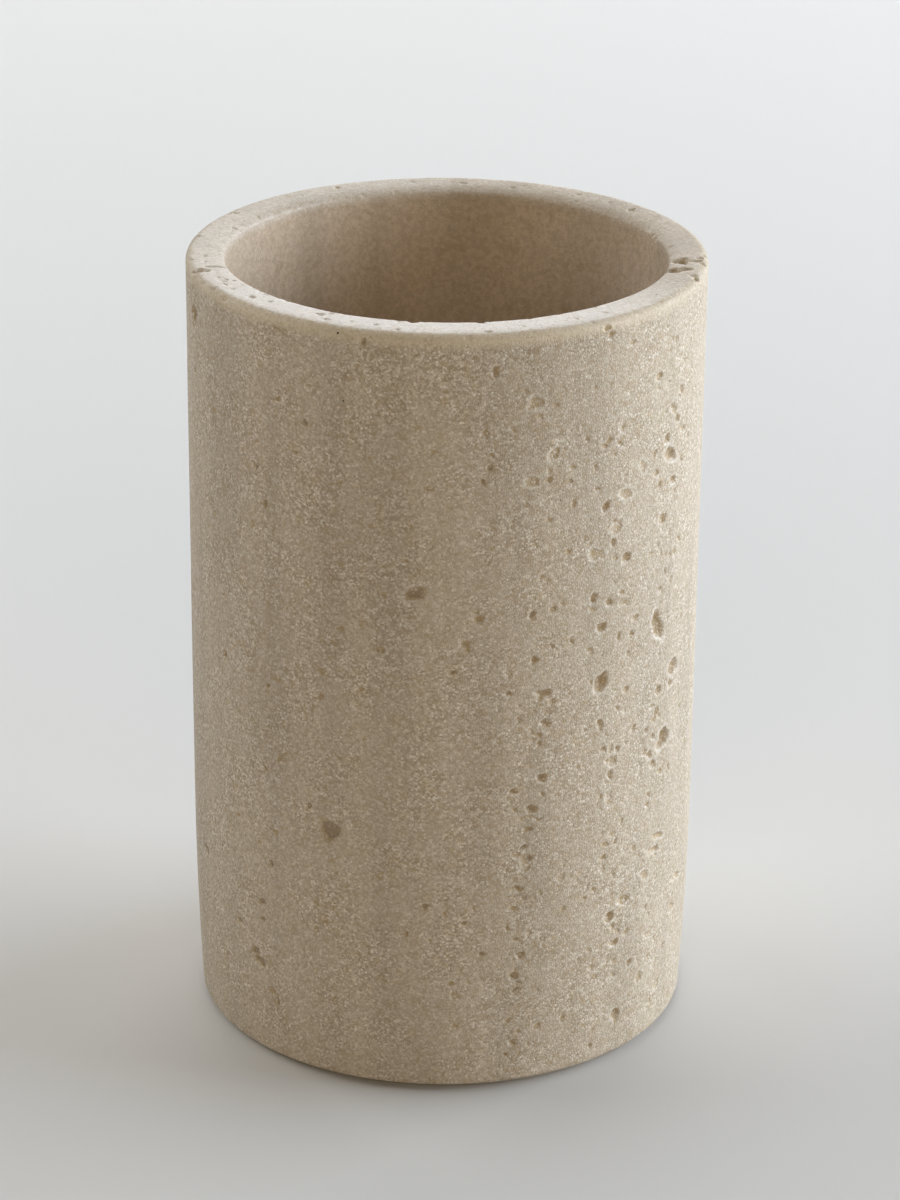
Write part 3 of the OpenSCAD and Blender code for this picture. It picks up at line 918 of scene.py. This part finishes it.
def turned(name, outline, columns, uneven):
    """A closed lathe shape from an outline of (radius, height) that starts and ends on the axis."""
    mesh = bpy.data.meshes.new(name)
    turn = np.arange(columns) * 2 * math.pi / columns
    rings = outline[1:-1]
    points = [(0, 0, outline[0][1] * MM)]
    for radius, height in rings:
        ripple = np.sin(ripples_round[0] * turn + radius / ripple_lengths[0])
        ripple = ripple * np.cos(ripples_round[1] * turn - radius / ripple_lengths[1])
        lift = uneven * (1 + ripple) / 2
        points.extend(zip(radius * MM * np.cos(turn), radius * MM * np.sin(turn),
                          (height + lift * (height < pad_edge_r)) * MM))
    points.append((0, 0, outline[-1][1] * MM))
    made = []
    for ring in range(len(rings) - 1):
        for column in range(columns):
            here = 1 + ring * columns + column
            beside = 1 + ring * columns + (column + 1) % columns
            made.append((here, beside, beside + columns, here + columns))
    top = 1 + (len(rings) - 1) * columns
    for column in range(columns):
        beside = (column + 1) % columns
        made.append((0, 1 + beside, 1 + column))
        made.append((len(points) - 1, top + column, top + beside))
    mesh.from_pydata(points, [], made)
    mesh.shade_smooth()
    return bpy.data.objects.new(name, mesh)


print("a pad's corner is rounded by", pad_edge_r, "mm")

# %% The foam pad
pad_bulge = 0.15
pad_columns = 160
pad_wave = 0.03
pad_t = pad_high[2] - pad_low[2]
corner_turn = np.radians(np.linspace(0, 90, 5))
under_from = 6
under_rings = 6
over_radii = (20, 8)
belly_shares = (0.25, 0.5, 0.75)
belly = pad_r - pad_bulge
corner_r = belly - pad_edge_r

pad_outline = [(0, 0)] + [(radius, 0) for radius in np.linspace(under_from, corner_r, under_rings)]
pad_outline += [(corner_r + pad_edge_r * math.sin(t), pad_edge_r - pad_edge_r * math.cos(t))
                for t in corner_turn[1:]]
pad_outline += [(belly + pad_bulge * math.sin(math.pi * share), pad_edge_r + (pad_t - 2 * pad_edge_r) * share)
                for share in belly_shares]
pad_outline += [(corner_r + pad_edge_r * math.cos(t), pad_t - pad_edge_r + pad_edge_r * math.sin(t))
                for t in corner_turn]
pad_outline += [(radius, pad_t) for radius in over_radii] + [(0, pad_t)]
foam_pad = turned("foam_pad", pad_outline, pad_columns, pad_wave)
bpy.context.scene.collection.objects.link(foam_pad)
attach(foam_pad, "root")
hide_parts("base_pad")
print(len(foam_pad.data.polygons), "faces in the foam pad")

# %% [markdown]
# Now the finishes. They are built from nodes, so they have detail at any distance and no image is
# needed. A few small helpers make a node, set it up and wire its inputs in one call, which keeps the
# recipes readable.

# %% Helpers for nodes
def node_of(tree, kind, inputs=None, **settings):
    """Makes a node. inputs maps a socket's name or number to a value or to another node's socket."""
    node = tree.nodes.new("ShaderNode" + kind)
    for name, value in settings.items():
        setattr(node, name, value)
    for name, value in (inputs or {}).items():
        if isinstance(value, bpy.types.NodeSocket):
            tree.links.new(value, node.inputs[name])
        else:
            node.inputs[name].default_value = value
    return node


def math_of(tree, operation, *values):
    """The result of one Math node."""
    return node_of(tree, "Math", dict(enumerate(values)), operation=operation).outputs[0]


def ramp_of(tree, value, low, high, to_low=0.0, to_high=1.0):
    """A value taken from low..high to to_low..to_high in a smooth step."""
    inputs = {"Value": value, "From Min": low, "From Max": high, "To Min": to_low, "To Max": to_high}
    return node_of(tree, "MapRange", inputs, interpolation_type="SMOOTHSTEP").outputs["Result"]


def blend_of(tree, mask, colour_a, colour_b, blend_type="MIX"):
    """Colour a where the mask is 0, and blended with colour b where it is 1."""
    # A Mix node for colours has them at inputs 6 and 7, and its result at output 2
    node = node_of(tree, "Mix", data_type="RGBA", blend_type=blend_type)
    for socket, value in ((node.inputs[0], mask), (node.inputs[6], colour_a), (node.inputs[7], colour_b)):
        if isinstance(value, bpy.types.NodeSocket):
            tree.links.new(value, socket)
        else:
            socket.default_value = value if isinstance(value, (int, float)) else (*value, 1)
    return node.outputs[2]


print("helpers for nodes:", node_of.__name__, math_of.__name__, ramp_of.__name__, blend_of.__name__)

# %% Helpers for layers and materials
def layer_of(tree, colour, mask, amount, over):
    """A colour with another laid over it: none where the mask is 0, and the amount where it is 1."""
    return blend_of(tree, math_of(tree, "MULTIPLY", mask, amount), colour, over)


def new_material(name):
    """An empty node material. Returns it, its node tree and its shader."""
    material = bpy.data.materials.new(name)
    material.use_nodes = True
    return material, material.node_tree, material.node_tree.nodes["Principled BSDF"]


print("helpers for materials:", layer_of.__name__, new_material.__name__)

# %% [markdown]
# Grain and clouds are used by all three materials, so each is a node group, built once and placed with
# its own values. Specks are a group as well, which keeps the stone's recipe short. All three work in the
# object's own coordinates, in steps of a size in millimetres, so they keep their true scale on any piece.

# %% Helpers for groups
def new_group(name, inputs, outputs):
    """An empty shader node group with named sockets. Returns it, its input node and its output node."""
    group = bpy.data.node_groups.new(name, "ShaderNodeTree")
    for label, value in inputs.items():
        group.interface.new_socket(label, in_out="INPUT", socket_type="NodeSocketFloat").default_value = value
    for label in outputs:
        group.interface.new_socket(label, in_out="OUTPUT", socket_type="NodeSocketFloat")
    return group, group.nodes.new("NodeGroupInput"), group.nodes.new("NodeGroupOutput")


def place_group(tree, group, **inputs):
    """Places a group in a material with its own values, and returns its outputs."""
    node = tree.nodes.new("ShaderNodeGroup")
    node.node_tree = group
    for label, value in inputs.items():
        node.inputs[label].default_value = value
    return node.outputs


def scaled_place(tree, size, stretch=None):
    """The object's own coordinates, in steps of a size given in millimetres."""
    place = node_of(tree, "TexCoord").outputs["Object"]
    per_mm = math_of(tree, "DIVIDE", 1 / MM, size)
    scaled = node_of(tree, "VectorMath", {0: place, "Scale": per_mm}, operation="SCALE").outputs[0]
    if stretch is None:
        return scaled
    parts = node_of(tree, "SeparateXYZ", {0: scaled}).outputs
    squeezed = math_of(tree, "DIVIDE", parts[2], stretch)
    return node_of(tree, "CombineXYZ", {0: parts[0], 1: parts[1], 2: squeezed}).outputs[0]


print("helpers for groups:", new_group.__name__, place_group.__name__, scaled_place.__name__)

# %% [markdown]
# Grain is a packed bed of small cells, each with a tone of its own and a domed height. A Voronoi texture
# gives the cells. A little noise pushes their places about first, so that no cell has straight sides.

# %% The grain group
stir_scale = 0.9
stir_detail = 1.0
stir_push = 0.15
dome_reach = 0.8


def build_grain():
    """Packed cells, each with its own tone, and a height that is domed over every cell."""
    group, given, out = new_group("grain", {"Size": 0.4, "Seed": 0.0}, ["Tone", "Height"])
    place = scaled_place(group, given.outputs["Size"])
    moved = node_of(group, "VectorMath", {0: place, 1: given.outputs["Seed"]}, operation="ADD").outputs[0]
    stir = node_of(group, "TexNoise", {"Vector": moved, "Scale": stir_scale, "Detail": stir_detail})
    push = node_of(group, "VectorMath", {0: stir.outputs["Color"], "Scale": stir_push}, operation="SCALE")
    stirred = node_of(group, "VectorMath", {0: moved, 1: push.outputs[0]}, operation="ADD").outputs[0]
    cells = node_of(group, "TexVoronoi", {"Vector": stirred, "Scale": 1.0}, feature="F1")
    tone = node_of(group, "SeparateColor", {0: cells.outputs["Color"]}).outputs[0]
    dome = ramp_of(group, cells.outputs["Distance"], 0.0, dome_reach, 1.0, 0.0)
    group.links.new(tone, out.inputs["Tone"])
    group.links.new(dome, out.inputs["Height"])
    return group


grain = build_grain()
print("group", grain.name, "has", len(grain.nodes), "nodes")

# %% [markdown]
# Clouds are soft patches of any size: a noise texture cut off below one value and full above another.
# Stretch draws them out upright, as streaks.

# %% The clouds group
def build_clouds():
    """Soft patches: 0 between them and 1 within."""
    inputs = {"Size": 3.0, "Stretch": 1.0, "From": 0.45, "To": 0.65, "Detail": 3.0}
    group, given, out = new_group("clouds", inputs, ["Mask"])
    place = scaled_place(group, given.outputs["Size"], given.outputs["Stretch"])
    noise = node_of(group, "TexNoise", {"Vector": place, "Scale": 1.0, "Detail": given.outputs["Detail"]})
    mask = ramp_of(group, noise.outputs["Fac"], given.outputs["From"], given.outputs["To"])
    group.links.new(mask, out.inputs["Mask"])
    return group


clouds = build_clouds()
print("group", clouds.name, "has", len(clouds.nodes), "nodes")

# %% [markdown]
# Specks are a few dark dots. They come from a wide Voronoi bed too: only some cells have a dot, at their
# middle, and it is cut off sharply.

# %% The specks group
def build_specks():
    """A few small dots: one in some of the cells of a wide bed, each at the middle of its cell."""
    inputs = {"Spacing": 5.0, "Dot": 0.16, "Share": 0.3}
    group, given, out = new_group("specks", inputs, ["Mask"])
    place = scaled_place(group, given.outputs["Spacing"])
    cells = node_of(group, "TexVoronoi", {"Vector": place, "Scale": 1.0}, feature="F1")
    away = math_of(group, "MULTIPLY", cells.outputs["Distance"], given.outputs["Spacing"])
    near = math_of(group, "LESS_THAN", away, given.outputs["Dot"])
    pick = node_of(group, "SeparateColor", {0: cells.outputs["Color"]}).outputs[1]
    some = math_of(group, "LESS_THAN", pick, given.outputs["Share"])
    group.links.new(math_of(group, "MULTIPLY", near, some), out.inputs["Mask"])
    return group


specks = build_specks()
print("group", specks.name, "has", len(specks.nodes), "nodes")

# %% [markdown]
# Cast stone is crushed stone in a binder, blasted with sand after it leaves the mould. Seen close, it is
# a bed of pale and dark grains about a third of a millimetre across, among a few coarser ones. The bed's
# tone is worked out first, because colour, dust and bump all use it. Some areas show more contrast than
# others, and the unblasted inside and the rubbed rim show little.

# %% The bed of grains
grain_size = 0.3
coarse_size = 0.75
fine_share = 0.62
dome_share = 0.25
coarse_share = 0.18
calm_contrast = 0.42
faint_contrast = 0.55


def mask_of(tree, name):
    """One of the masks that the mesh carries."""
    return node_of(tree, "Attribute", attribute_name=name).outputs["Fac"]


def stone_bed(tree):
    """The two grains, how far the stone is blasted, its contrast, and its tone around the middle, 0."""
    fine = place_group(tree, grain, Size=grain_size)
    coarse = place_group(tree, grain, Size=coarse_size, Seed=31.0)
    rough_area = place_group(tree, clouds, Size=7.0, From=0.35, To=0.65)["Mask"]
    tone = math_of(tree, "MULTIPLY_ADD", fine["Tone"], fine_share, 0.0)
    tone = math_of(tree, "MULTIPLY_ADD", fine["Height"], dome_share, tone)
    tone = math_of(tree, "MULTIPLY_ADD", coarse["Tone"], coarse_share, tone)
    blasted = ramp_of(tree, mask_of(tree, "calm"), 0.0, 1.0, 1.0, calm_contrast)
    contrast = math_of(tree, "MULTIPLY", ramp_of(tree, rough_area, 0.0, 1.0, faint_contrast, 1.0), blasted)
    return fine, coarse, blasted, contrast, math_of(tree, "SUBTRACT", tone, 0.5)


print("fine grains are", grain_size, "mm across and coarse ones", coarse_size, "mm")

# %% [markdown]
# From a step away the stone is a warm grey beige, with faint upright streaks and small brown and pink
# patches. Single grains are amber or nearly white, and the white ones also stand in for the glints of
# glossy grains: a painted glint. Inside the bore a soft mottle takes the grain's place, since that wall
# was never blasted. At the outer edge of the rim a yellower painted glow stands in for light that shines
# through the stone, and the flat of the rim is painted pale: wear and a painted sheen. Each is a layer
# over the one before.

# %% Colours of the stone
pale_grain = (0.775, 0.675, 0.54)
# Nearly white grains, which also stand in for glints: partly a painted glint
dark_grain = (0.29, 0.215, 0.134)
bright_grain_and_glint = (0.90, 0.86, 0.80)
amber_grain = (0.44, 0.31, 0.16)
inside_stone = (0.50, 0.378, 0.27)
inside_pale = (0.66, 0.52, 0.385)
pink_patch = (0.60, 0.49, 0.41)
brown_patch = (0.42, 0.315, 0.195)
# Yellower colour of the painted glow at the rim's outer edge
painted_glow_stone = (0.76, 0.64, 0.46)
# Pale colour of the rim's flat: wear and a painted sheen
rubbed_sheen_stone = (0.84, 0.785, 0.715)
bright_tones = (0.84, 0.96)
amber_tones = (0.88, 0.94)
streak_tones = (1.04, 0.93)

# How far each layer covers what lies under it
bright_grain_and_glint_amount = 0.32
amber_amount = 0.45
inside_amount = 0.5
pink_amount = 0.18
brown_amount = 0.45
painted_glow_amount = 0.55
rubbed_sheen_amount = 0.65
print("the stone's colour runs from", dark_grain, "to", pale_grain)

# %% The stone's colour, layer by layer
def stone_colour(tree, fine, coarse, contrast, around_middle):
    """The dry stone's colour with the rim's painted glow and sheen, before the pits get their dust and shade.
    """
    brown = place_group(tree, clouds, Size=1.5, From=0.57, To=0.7, Detail=2.0)["Mask"]
    pink = place_group(tree, clouds, Size=4.5, From=0.52, To=0.72, Detail=2.0)["Mask"]
    streak = place_group(tree, clouds, Size=7.0, Stretch=9.0, From=0.35, To=0.7)["Mask"]
    mottle = place_group(tree, clouds, Size=0.9, From=0.35, To=0.65, Detail=1.0)["Mask"]
    tone = math_of(tree, "MULTIPLY_ADD", around_middle, contrast, 0.5)
    colour = blend_of(tree, tone, dark_grain, pale_grain)
    # White grains and painted glints, only where the stone is blasted
    bright_and_glint = math_of(tree, "MULTIPLY", ramp_of(tree, fine["Tone"], *bright_tones), contrast)
    bright_and_glint = math_of(tree, "MULTIPLY", bright_and_glint, math_of(tree, "SUBTRACT", 1.0, mask_of(tree, "calm")))
    amber = math_of(tree, "MULTIPLY", ramp_of(tree, coarse["Tone"], *amber_tones), contrast)
    mottled = blend_of(tree, mottle, inside_stone, inside_pale)
    colour = layer_of(tree, colour, bright_and_glint, bright_grain_and_glint_amount, bright_grain_and_glint)
    colour = layer_of(tree, colour, amber, amber_amount, amber_grain)
    colour = layer_of(tree, colour, mask_of(tree, "inside"), inside_amount, mottled)
    colour = layer_of(tree, colour, pink, pink_amount, pink_patch)
    colour = layer_of(tree, colour, brown, brown_amount, brown_patch)
    streak_tone = ramp_of(tree, streak, 0.0, 1.0, *streak_tones)
    shade = node_of(tree, "CombineColor", {0: streak_tone, 1: streak_tone, 2: streak_tone}).outputs[0]
    colour = blend_of(tree, 1.0, colour, shade, "MULTIPLY")
    # Painted glow at the rim's outer edge, standing in for light through the stone
    colour = layer_of(tree, colour, mask_of(tree, "edge_glow"), painted_glow_amount, painted_glow_stone)
    # Painted sheen and wear: the rim's flat painted pale, most at the front
    return layer_of(tree, colour, mask_of(tree, "rubbed_and_painted_sheen"), rubbed_sheen_amount, rubbed_sheen_stone)


print("the rubbed rim is", rubbed_sheen_stone)

# %% [markdown]
# The pits are painted brown with dust and painted shade, of a darker tone where they are deep and on
# the shaded left side. Dust gathers between grains before it covers them, so it is stronger where the
# grain is dark. Round the wide pits that hold little of it, the lip gets a pale painted highlight. A few
# dark specks lie on top of everything.

# %% Dust with painted shade, painted lip highlights and specks
# Colour of the painted highlight on the pits' lips
painted_highlight_stone = (0.83, 0.76, 0.65)
dust_and_shade_brown = (0.47, 0.345, 0.19)
# Darker brown where a pit is deep: painted shade
deep_painted_shade = (0.30, 0.22, 0.135)
speck_colour = (0.05, 0.04, 0.035)
painted_highlight_amount = 0.4
dust_and_shade_gain = 0.8
dust_grain_gain = -1.0
dusty_and_shaded_range = (0.1, 0.7)
dust_and_shade_amount = 0.8
deep_shade_range = (0.7, 0.95)


def pit_colour(tree, colour, around_middle):
    """The stone's colour with painted lip highlights, dust and painted shade in the pits and a few dark
    specks.
    """
    # Painted highlight: the lips of wide, cleaner pits painted pale
    colour = layer_of(tree, colour, mask_of(tree, "pit_lip_painted_highlight"), painted_highlight_amount, painted_highlight_stone)
    dust_and_shade_here = mask_of(tree, "pit_dust_and_shade")
    in_grain = math_of(tree, "MULTIPLY", around_middle, dust_grain_gain)
    dusty = math_of(tree, "MULTIPLY_ADD", dust_and_shade_here, dust_and_shade_gain, in_grain)
    # Dust and painted shade: brown, darker where the pit is deep
    dust_and_shade_colour = blend_of(tree, ramp_of(tree, dust_and_shade_here, *deep_shade_range), dust_and_shade_brown, deep_painted_shade)
    colour = layer_of(tree, colour, ramp_of(tree, dusty, *dusty_and_shaded_range), dust_and_shade_amount, dust_and_shade_colour)
    return blend_of(tree, place_group(tree, specks)["Mask"], colour, speck_colour)


print("the deepest dust is", deep_painted_shade)

# %% [markdown]
# Colour does most of the work. A fine bump lets the grains catch the light, weaker where the stone isn't
# blasted, and the rubbed rim is a little glossier than the rest.

# %% The stone
gloss_tones = (0.3, 1.0)
gloss_range = (0.66, 0.5)
rubbed_gloss = -0.14
tone_height = 0.5
coarse_height = 0.4
bump_strength = 0.55
bump_mm = 0.09


def build_stone():
    """The blasted cast stone."""
    material, tree, shader = new_material("blasted_stone")
    fine, coarse, blasted, contrast, around_middle = stone_bed(tree)
    colour = stone_colour(tree, fine, coarse, contrast, around_middle)
    tree.links.new(pit_colour(tree, colour, around_middle), shader.inputs["Base Color"])
    gloss = ramp_of(tree, fine["Tone"], *gloss_tones, *gloss_range)
    gloss = math_of(tree, "MULTIPLY_ADD", mask_of(tree, "rubbed_and_painted_sheen"), rubbed_gloss, gloss)
    tree.links.new(gloss, shader.inputs["Roughness"])
    height = math_of(tree, "MULTIPLY_ADD", fine["Tone"], tone_height, fine["Height"])
    height = math_of(tree, "MULTIPLY_ADD", coarse["Height"], coarse_height, height)
    height = math_of(tree, "MULTIPLY", height, blasted)
    bump = node_of(tree, "Bump", {"Strength": bump_strength, "Distance": bump_mm * MM, "Height": height})
    tree.links.new(bump.outputs["Normal"], shader.inputs["Normal"])
    return material


stone = build_stone()
stone_casting.data.materials.append(stone)
print("the stone has", len(stone.node_tree.nodes), "nodes")

# %% [markdown]
# The pad is dark closed-cell foam with a skin of tiny bubbles, scuffed paler by use. A photograph of foam
# could be wrapped round it, but nodes keep the bubbles at their true size: a bubble is a cell of the
# grain group turned inside out.

# %% The foam
foam_dark = (0.030, 0.029, 0.027)
foam_pale = (0.060, 0.058, 0.054)
foam_scuffed = (0.13, 0.125, 0.115)
scuff_amount = 0.5
foam_roughness = (0.7, 0.95)
foam_bump = 0.6
foam_bump_mm = 0.08


def build_foam():
    """Dark foam: bubbles in its skin and scuffs from use."""
    material, tree, shader = new_material("closed_cell_foam")
    bubbles = place_group(tree, grain, Size=0.3, Seed=7.0)
    scuffs = place_group(tree, clouds, Size=5.0, From=0.45, To=0.75)["Mask"]
    colour = blend_of(tree, bubbles["Tone"], foam_dark, foam_pale)
    tree.links.new(layer_of(tree, colour, scuffs, scuff_amount, foam_scuffed), shader.inputs["Base Color"])
    tree.links.new(ramp_of(tree, scuffs, 0.0, 1.0, *foam_roughness), shader.inputs["Roughness"])
    dents = ramp_of(tree, bubbles["Height"], 0.0, 1.0, 1.0, 0.0)
    bump = node_of(tree, "Bump", {"Strength": foam_bump, "Distance": foam_bump_mm * MM, "Height": dents})
    tree.links.new(bump.outputs["Normal"], shader.inputs["Normal"])
    return material


foam_pad.data.materials.append(build_foam())
print("the foam has", len(foam_pad.data.materials[0].node_tree.nodes), "nodes")

# %% [markdown]
# The film that holds the pad is a milky adhesive. Only its edge shows, and dust sticks to an edge like
# that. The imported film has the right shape, so it stays and only gets this material.

# %% The adhesive film
film_dark = (0.66, 0.60, 0.48)
film_pale = (0.76, 0.71, 0.60)
film_dust = (0.34, 0.30, 0.25)
film_dust_amount = 0.6
film_roughness = (0.35, 0.85)


def build_film():
    """Milky adhesive with dust on it."""
    material, tree, shader = new_material("milky_film")
    dusty = place_group(tree, clouds, Size=1.5, From=0.4, To=0.7)["Mask"]
    fibres = place_group(tree, grain, Size=0.25, Seed=3.0)["Tone"]
    colour = blend_of(tree, fibres, film_dark, film_pale)
    tree.links.new(layer_of(tree, colour, dusty, film_dust_amount, film_dust), shader.inputs["Base Color"])
    tree.links.new(ramp_of(tree, dusty, 0.0, 1.0, *film_roughness), shader.inputs["Roughness"])
    return material


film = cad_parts["pad_adhesive"]
film.data.materials.clear()
film.data.materials.append(build_film())
print("materials:", sorted(material.name for material in bpy.data.materials))

# %% [markdown]
# The stage is one pale sheet that runs level under the tumbler and curves up far behind it, so there is
# no corner. It is matt, with hardly any gloss, so that it keeps the tumbler's soft shadow and doesn't
# mirror the panels of light.

# %% Floor and backdrop
floor_half = 3.0
backdrop_y = 1.5
backdrop_r = 0.6
backdrop_h = 2.5
bend_points = 13
floor_colour = (0.69, 0.68, 0.66)
floor_roughness = 0.55
floor_specular = 0.08


def build_sweep():
    """A sheet that lies flat, bends up in a quarter round and stands."""
    bend = np.radians(np.linspace(0, 90, bend_points))
    outline = [(-floor_half, 0)]
    outline += [(backdrop_y + backdrop_r * math.sin(t), backdrop_r * (1 - math.cos(t))) for t in bend]
    outline += [(backdrop_y + backdrop_r, backdrop_h)]
    points = [(x, y, z) for y, z in outline for x in (-floor_half, floor_half)]
    sheet_faces = [(2 * i, 2 * i + 1, 2 * i + 3, 2 * i + 2) for i in range(len(outline) - 1)]
    mesh = bpy.data.meshes.new("sweep")
    mesh.from_pydata(points, [], sheet_faces)
    mesh.shade_smooth()
    return bpy.data.objects.new("sweep", mesh)


sweep = build_sweep()
bpy.context.scene.collection.objects.link(sweep)
sweep_material, _, sweep_shader = new_material("pale_sweep")
sweep_shader.inputs["Base Color"].default_value = (*floor_colour, 1)
sweep_shader.inputs["Roughness"].default_value = floor_roughness
sweep_shader.inputs["Specular IOR Level"].default_value = floor_specular
sweep.data.materials.append(sweep_material)
print("the floor reaches", floor_half, "m each way")

# %% [markdown]
# The camera stands where the photographer stood. Its place was found by fitting the tumbler's outline:
# 548 mm away and 292 mm above the foot's plane, looking down by 22.8 degrees with a long lens.

# %% Camera
camera_away = 548.2
camera_up = 292.2
camera_down = math.radians(22.794)
camera_aside = math.radians(0.093)
camera_roll = math.radians(0.52)
sensor_mm = 36
lens_mm = 120
nearest_seen = 0.05

camera_data = bpy.data.cameras.new("camera")
camera_data.sensor_width = sensor_mm
camera_data.lens = lens_mm
camera_data.clip_start = nearest_seen
camera = bpy.data.objects.new("camera", camera_data)
camera.location = (0, -camera_away * MM, (foot_z + camera_up) * MM)
aim = Euler((0, 0, -camera_aside)).to_matrix() @ Euler((math.pi / 2 - camera_down, 0, 0)).to_matrix()
camera.rotation_euler = (aim @ Euler((0, 0, camera_roll)).to_matrix()).to_euler()
bpy.context.scene.collection.objects.link(camera)
bpy.context.scene.camera = camera
print("the camera is at", tuple(round(value, 3) for value in camera.location))

# %% [markdown]
# The light is soft and comes mostly from one wide panel, low on the right and a little behind. A dim
# panel at the left and rear fills the shaded side, and a weak warm one stands behind the camera. A low
# panel at the back skims over the rim, which makes its flat shine at the front, and one above fills the
# bore. All are large, so the pits have soft shadows. The strengths were found by lighting the model with
# one panel at a time and looking for the mix that comes closest to the photograph's light and shade.

# %% Lights
def add_panel(name, azimuth, elevation, distance, size, watts, colour):
    """A soft light that faces the tumbler. Azimuth 0 is the camera's side, 90 is +X."""
    light = bpy.data.lights.new(name, "AREA")
    light.shape = "RECTANGLE"
    light.size, light.size_y = size
    light.energy = watts
    light.color = colour
    panel = bpy.data.objects.new(name, light)
    turn, rise = math.radians(azimuth), math.radians(elevation)
    away = Vector((math.sin(turn) * math.cos(rise), -math.cos(turn) * math.cos(rise), math.sin(rise)))
    target = Vector((0, 0, (foot_z + rim_z) / 2 * MM))
    panel.location = target + away * distance
    panel.rotation_euler = (-away).to_track_quat("-Z", "Y").to_euler()
    bpy.context.scene.collection.objects.link(panel)
    return panel


# Name, azimuth and elevation in degrees, distance and size in metres, watts and colour
panels = [
    add_panel("window", 102, 15, 1.5, (1.5, 0.9), 33, (0.91, 1.0, 1.11)),
    add_panel("left_wall", 248, 32, 1.5, (1.2, 0.9), 10.5, (0.98, 1.0, 1.0)),
    add_panel("ceiling", 180, 70, 1.5, (1.2, 1.2), 3.5, (0.98, 1.0, 1.03)),
    add_panel("back", 180, 21, 1.4, (1.6, 0.5), 8, (1.0, 1.0, 1.02)),
    add_panel("room", 0, 22, 1.5, (0.9, 0.9), 5.5, (1.0, 0.84, 0.62)),
]
print("lights:", [panel.name for panel in panels])

# %% [markdown]
# A little light from all round keeps the deepest shade from going black. The view transform is Standard,
# so that a colour renders about as it is written.

# %% World and view
fill_colour = (0.9, 0.88, 0.84, 1)
fill_strength = 0.03
world = bpy.data.worlds.new("room_fill")
world.use_nodes = True
background = world.node_tree.nodes["Background"]
background.inputs["Color"].default_value = fill_colour
background.inputs["Strength"].default_value = fill_strength
bpy.context.scene.world = world
bpy.context.scene.view_settings.view_transform = "Standard"
print("the world's strength is", fill_strength)
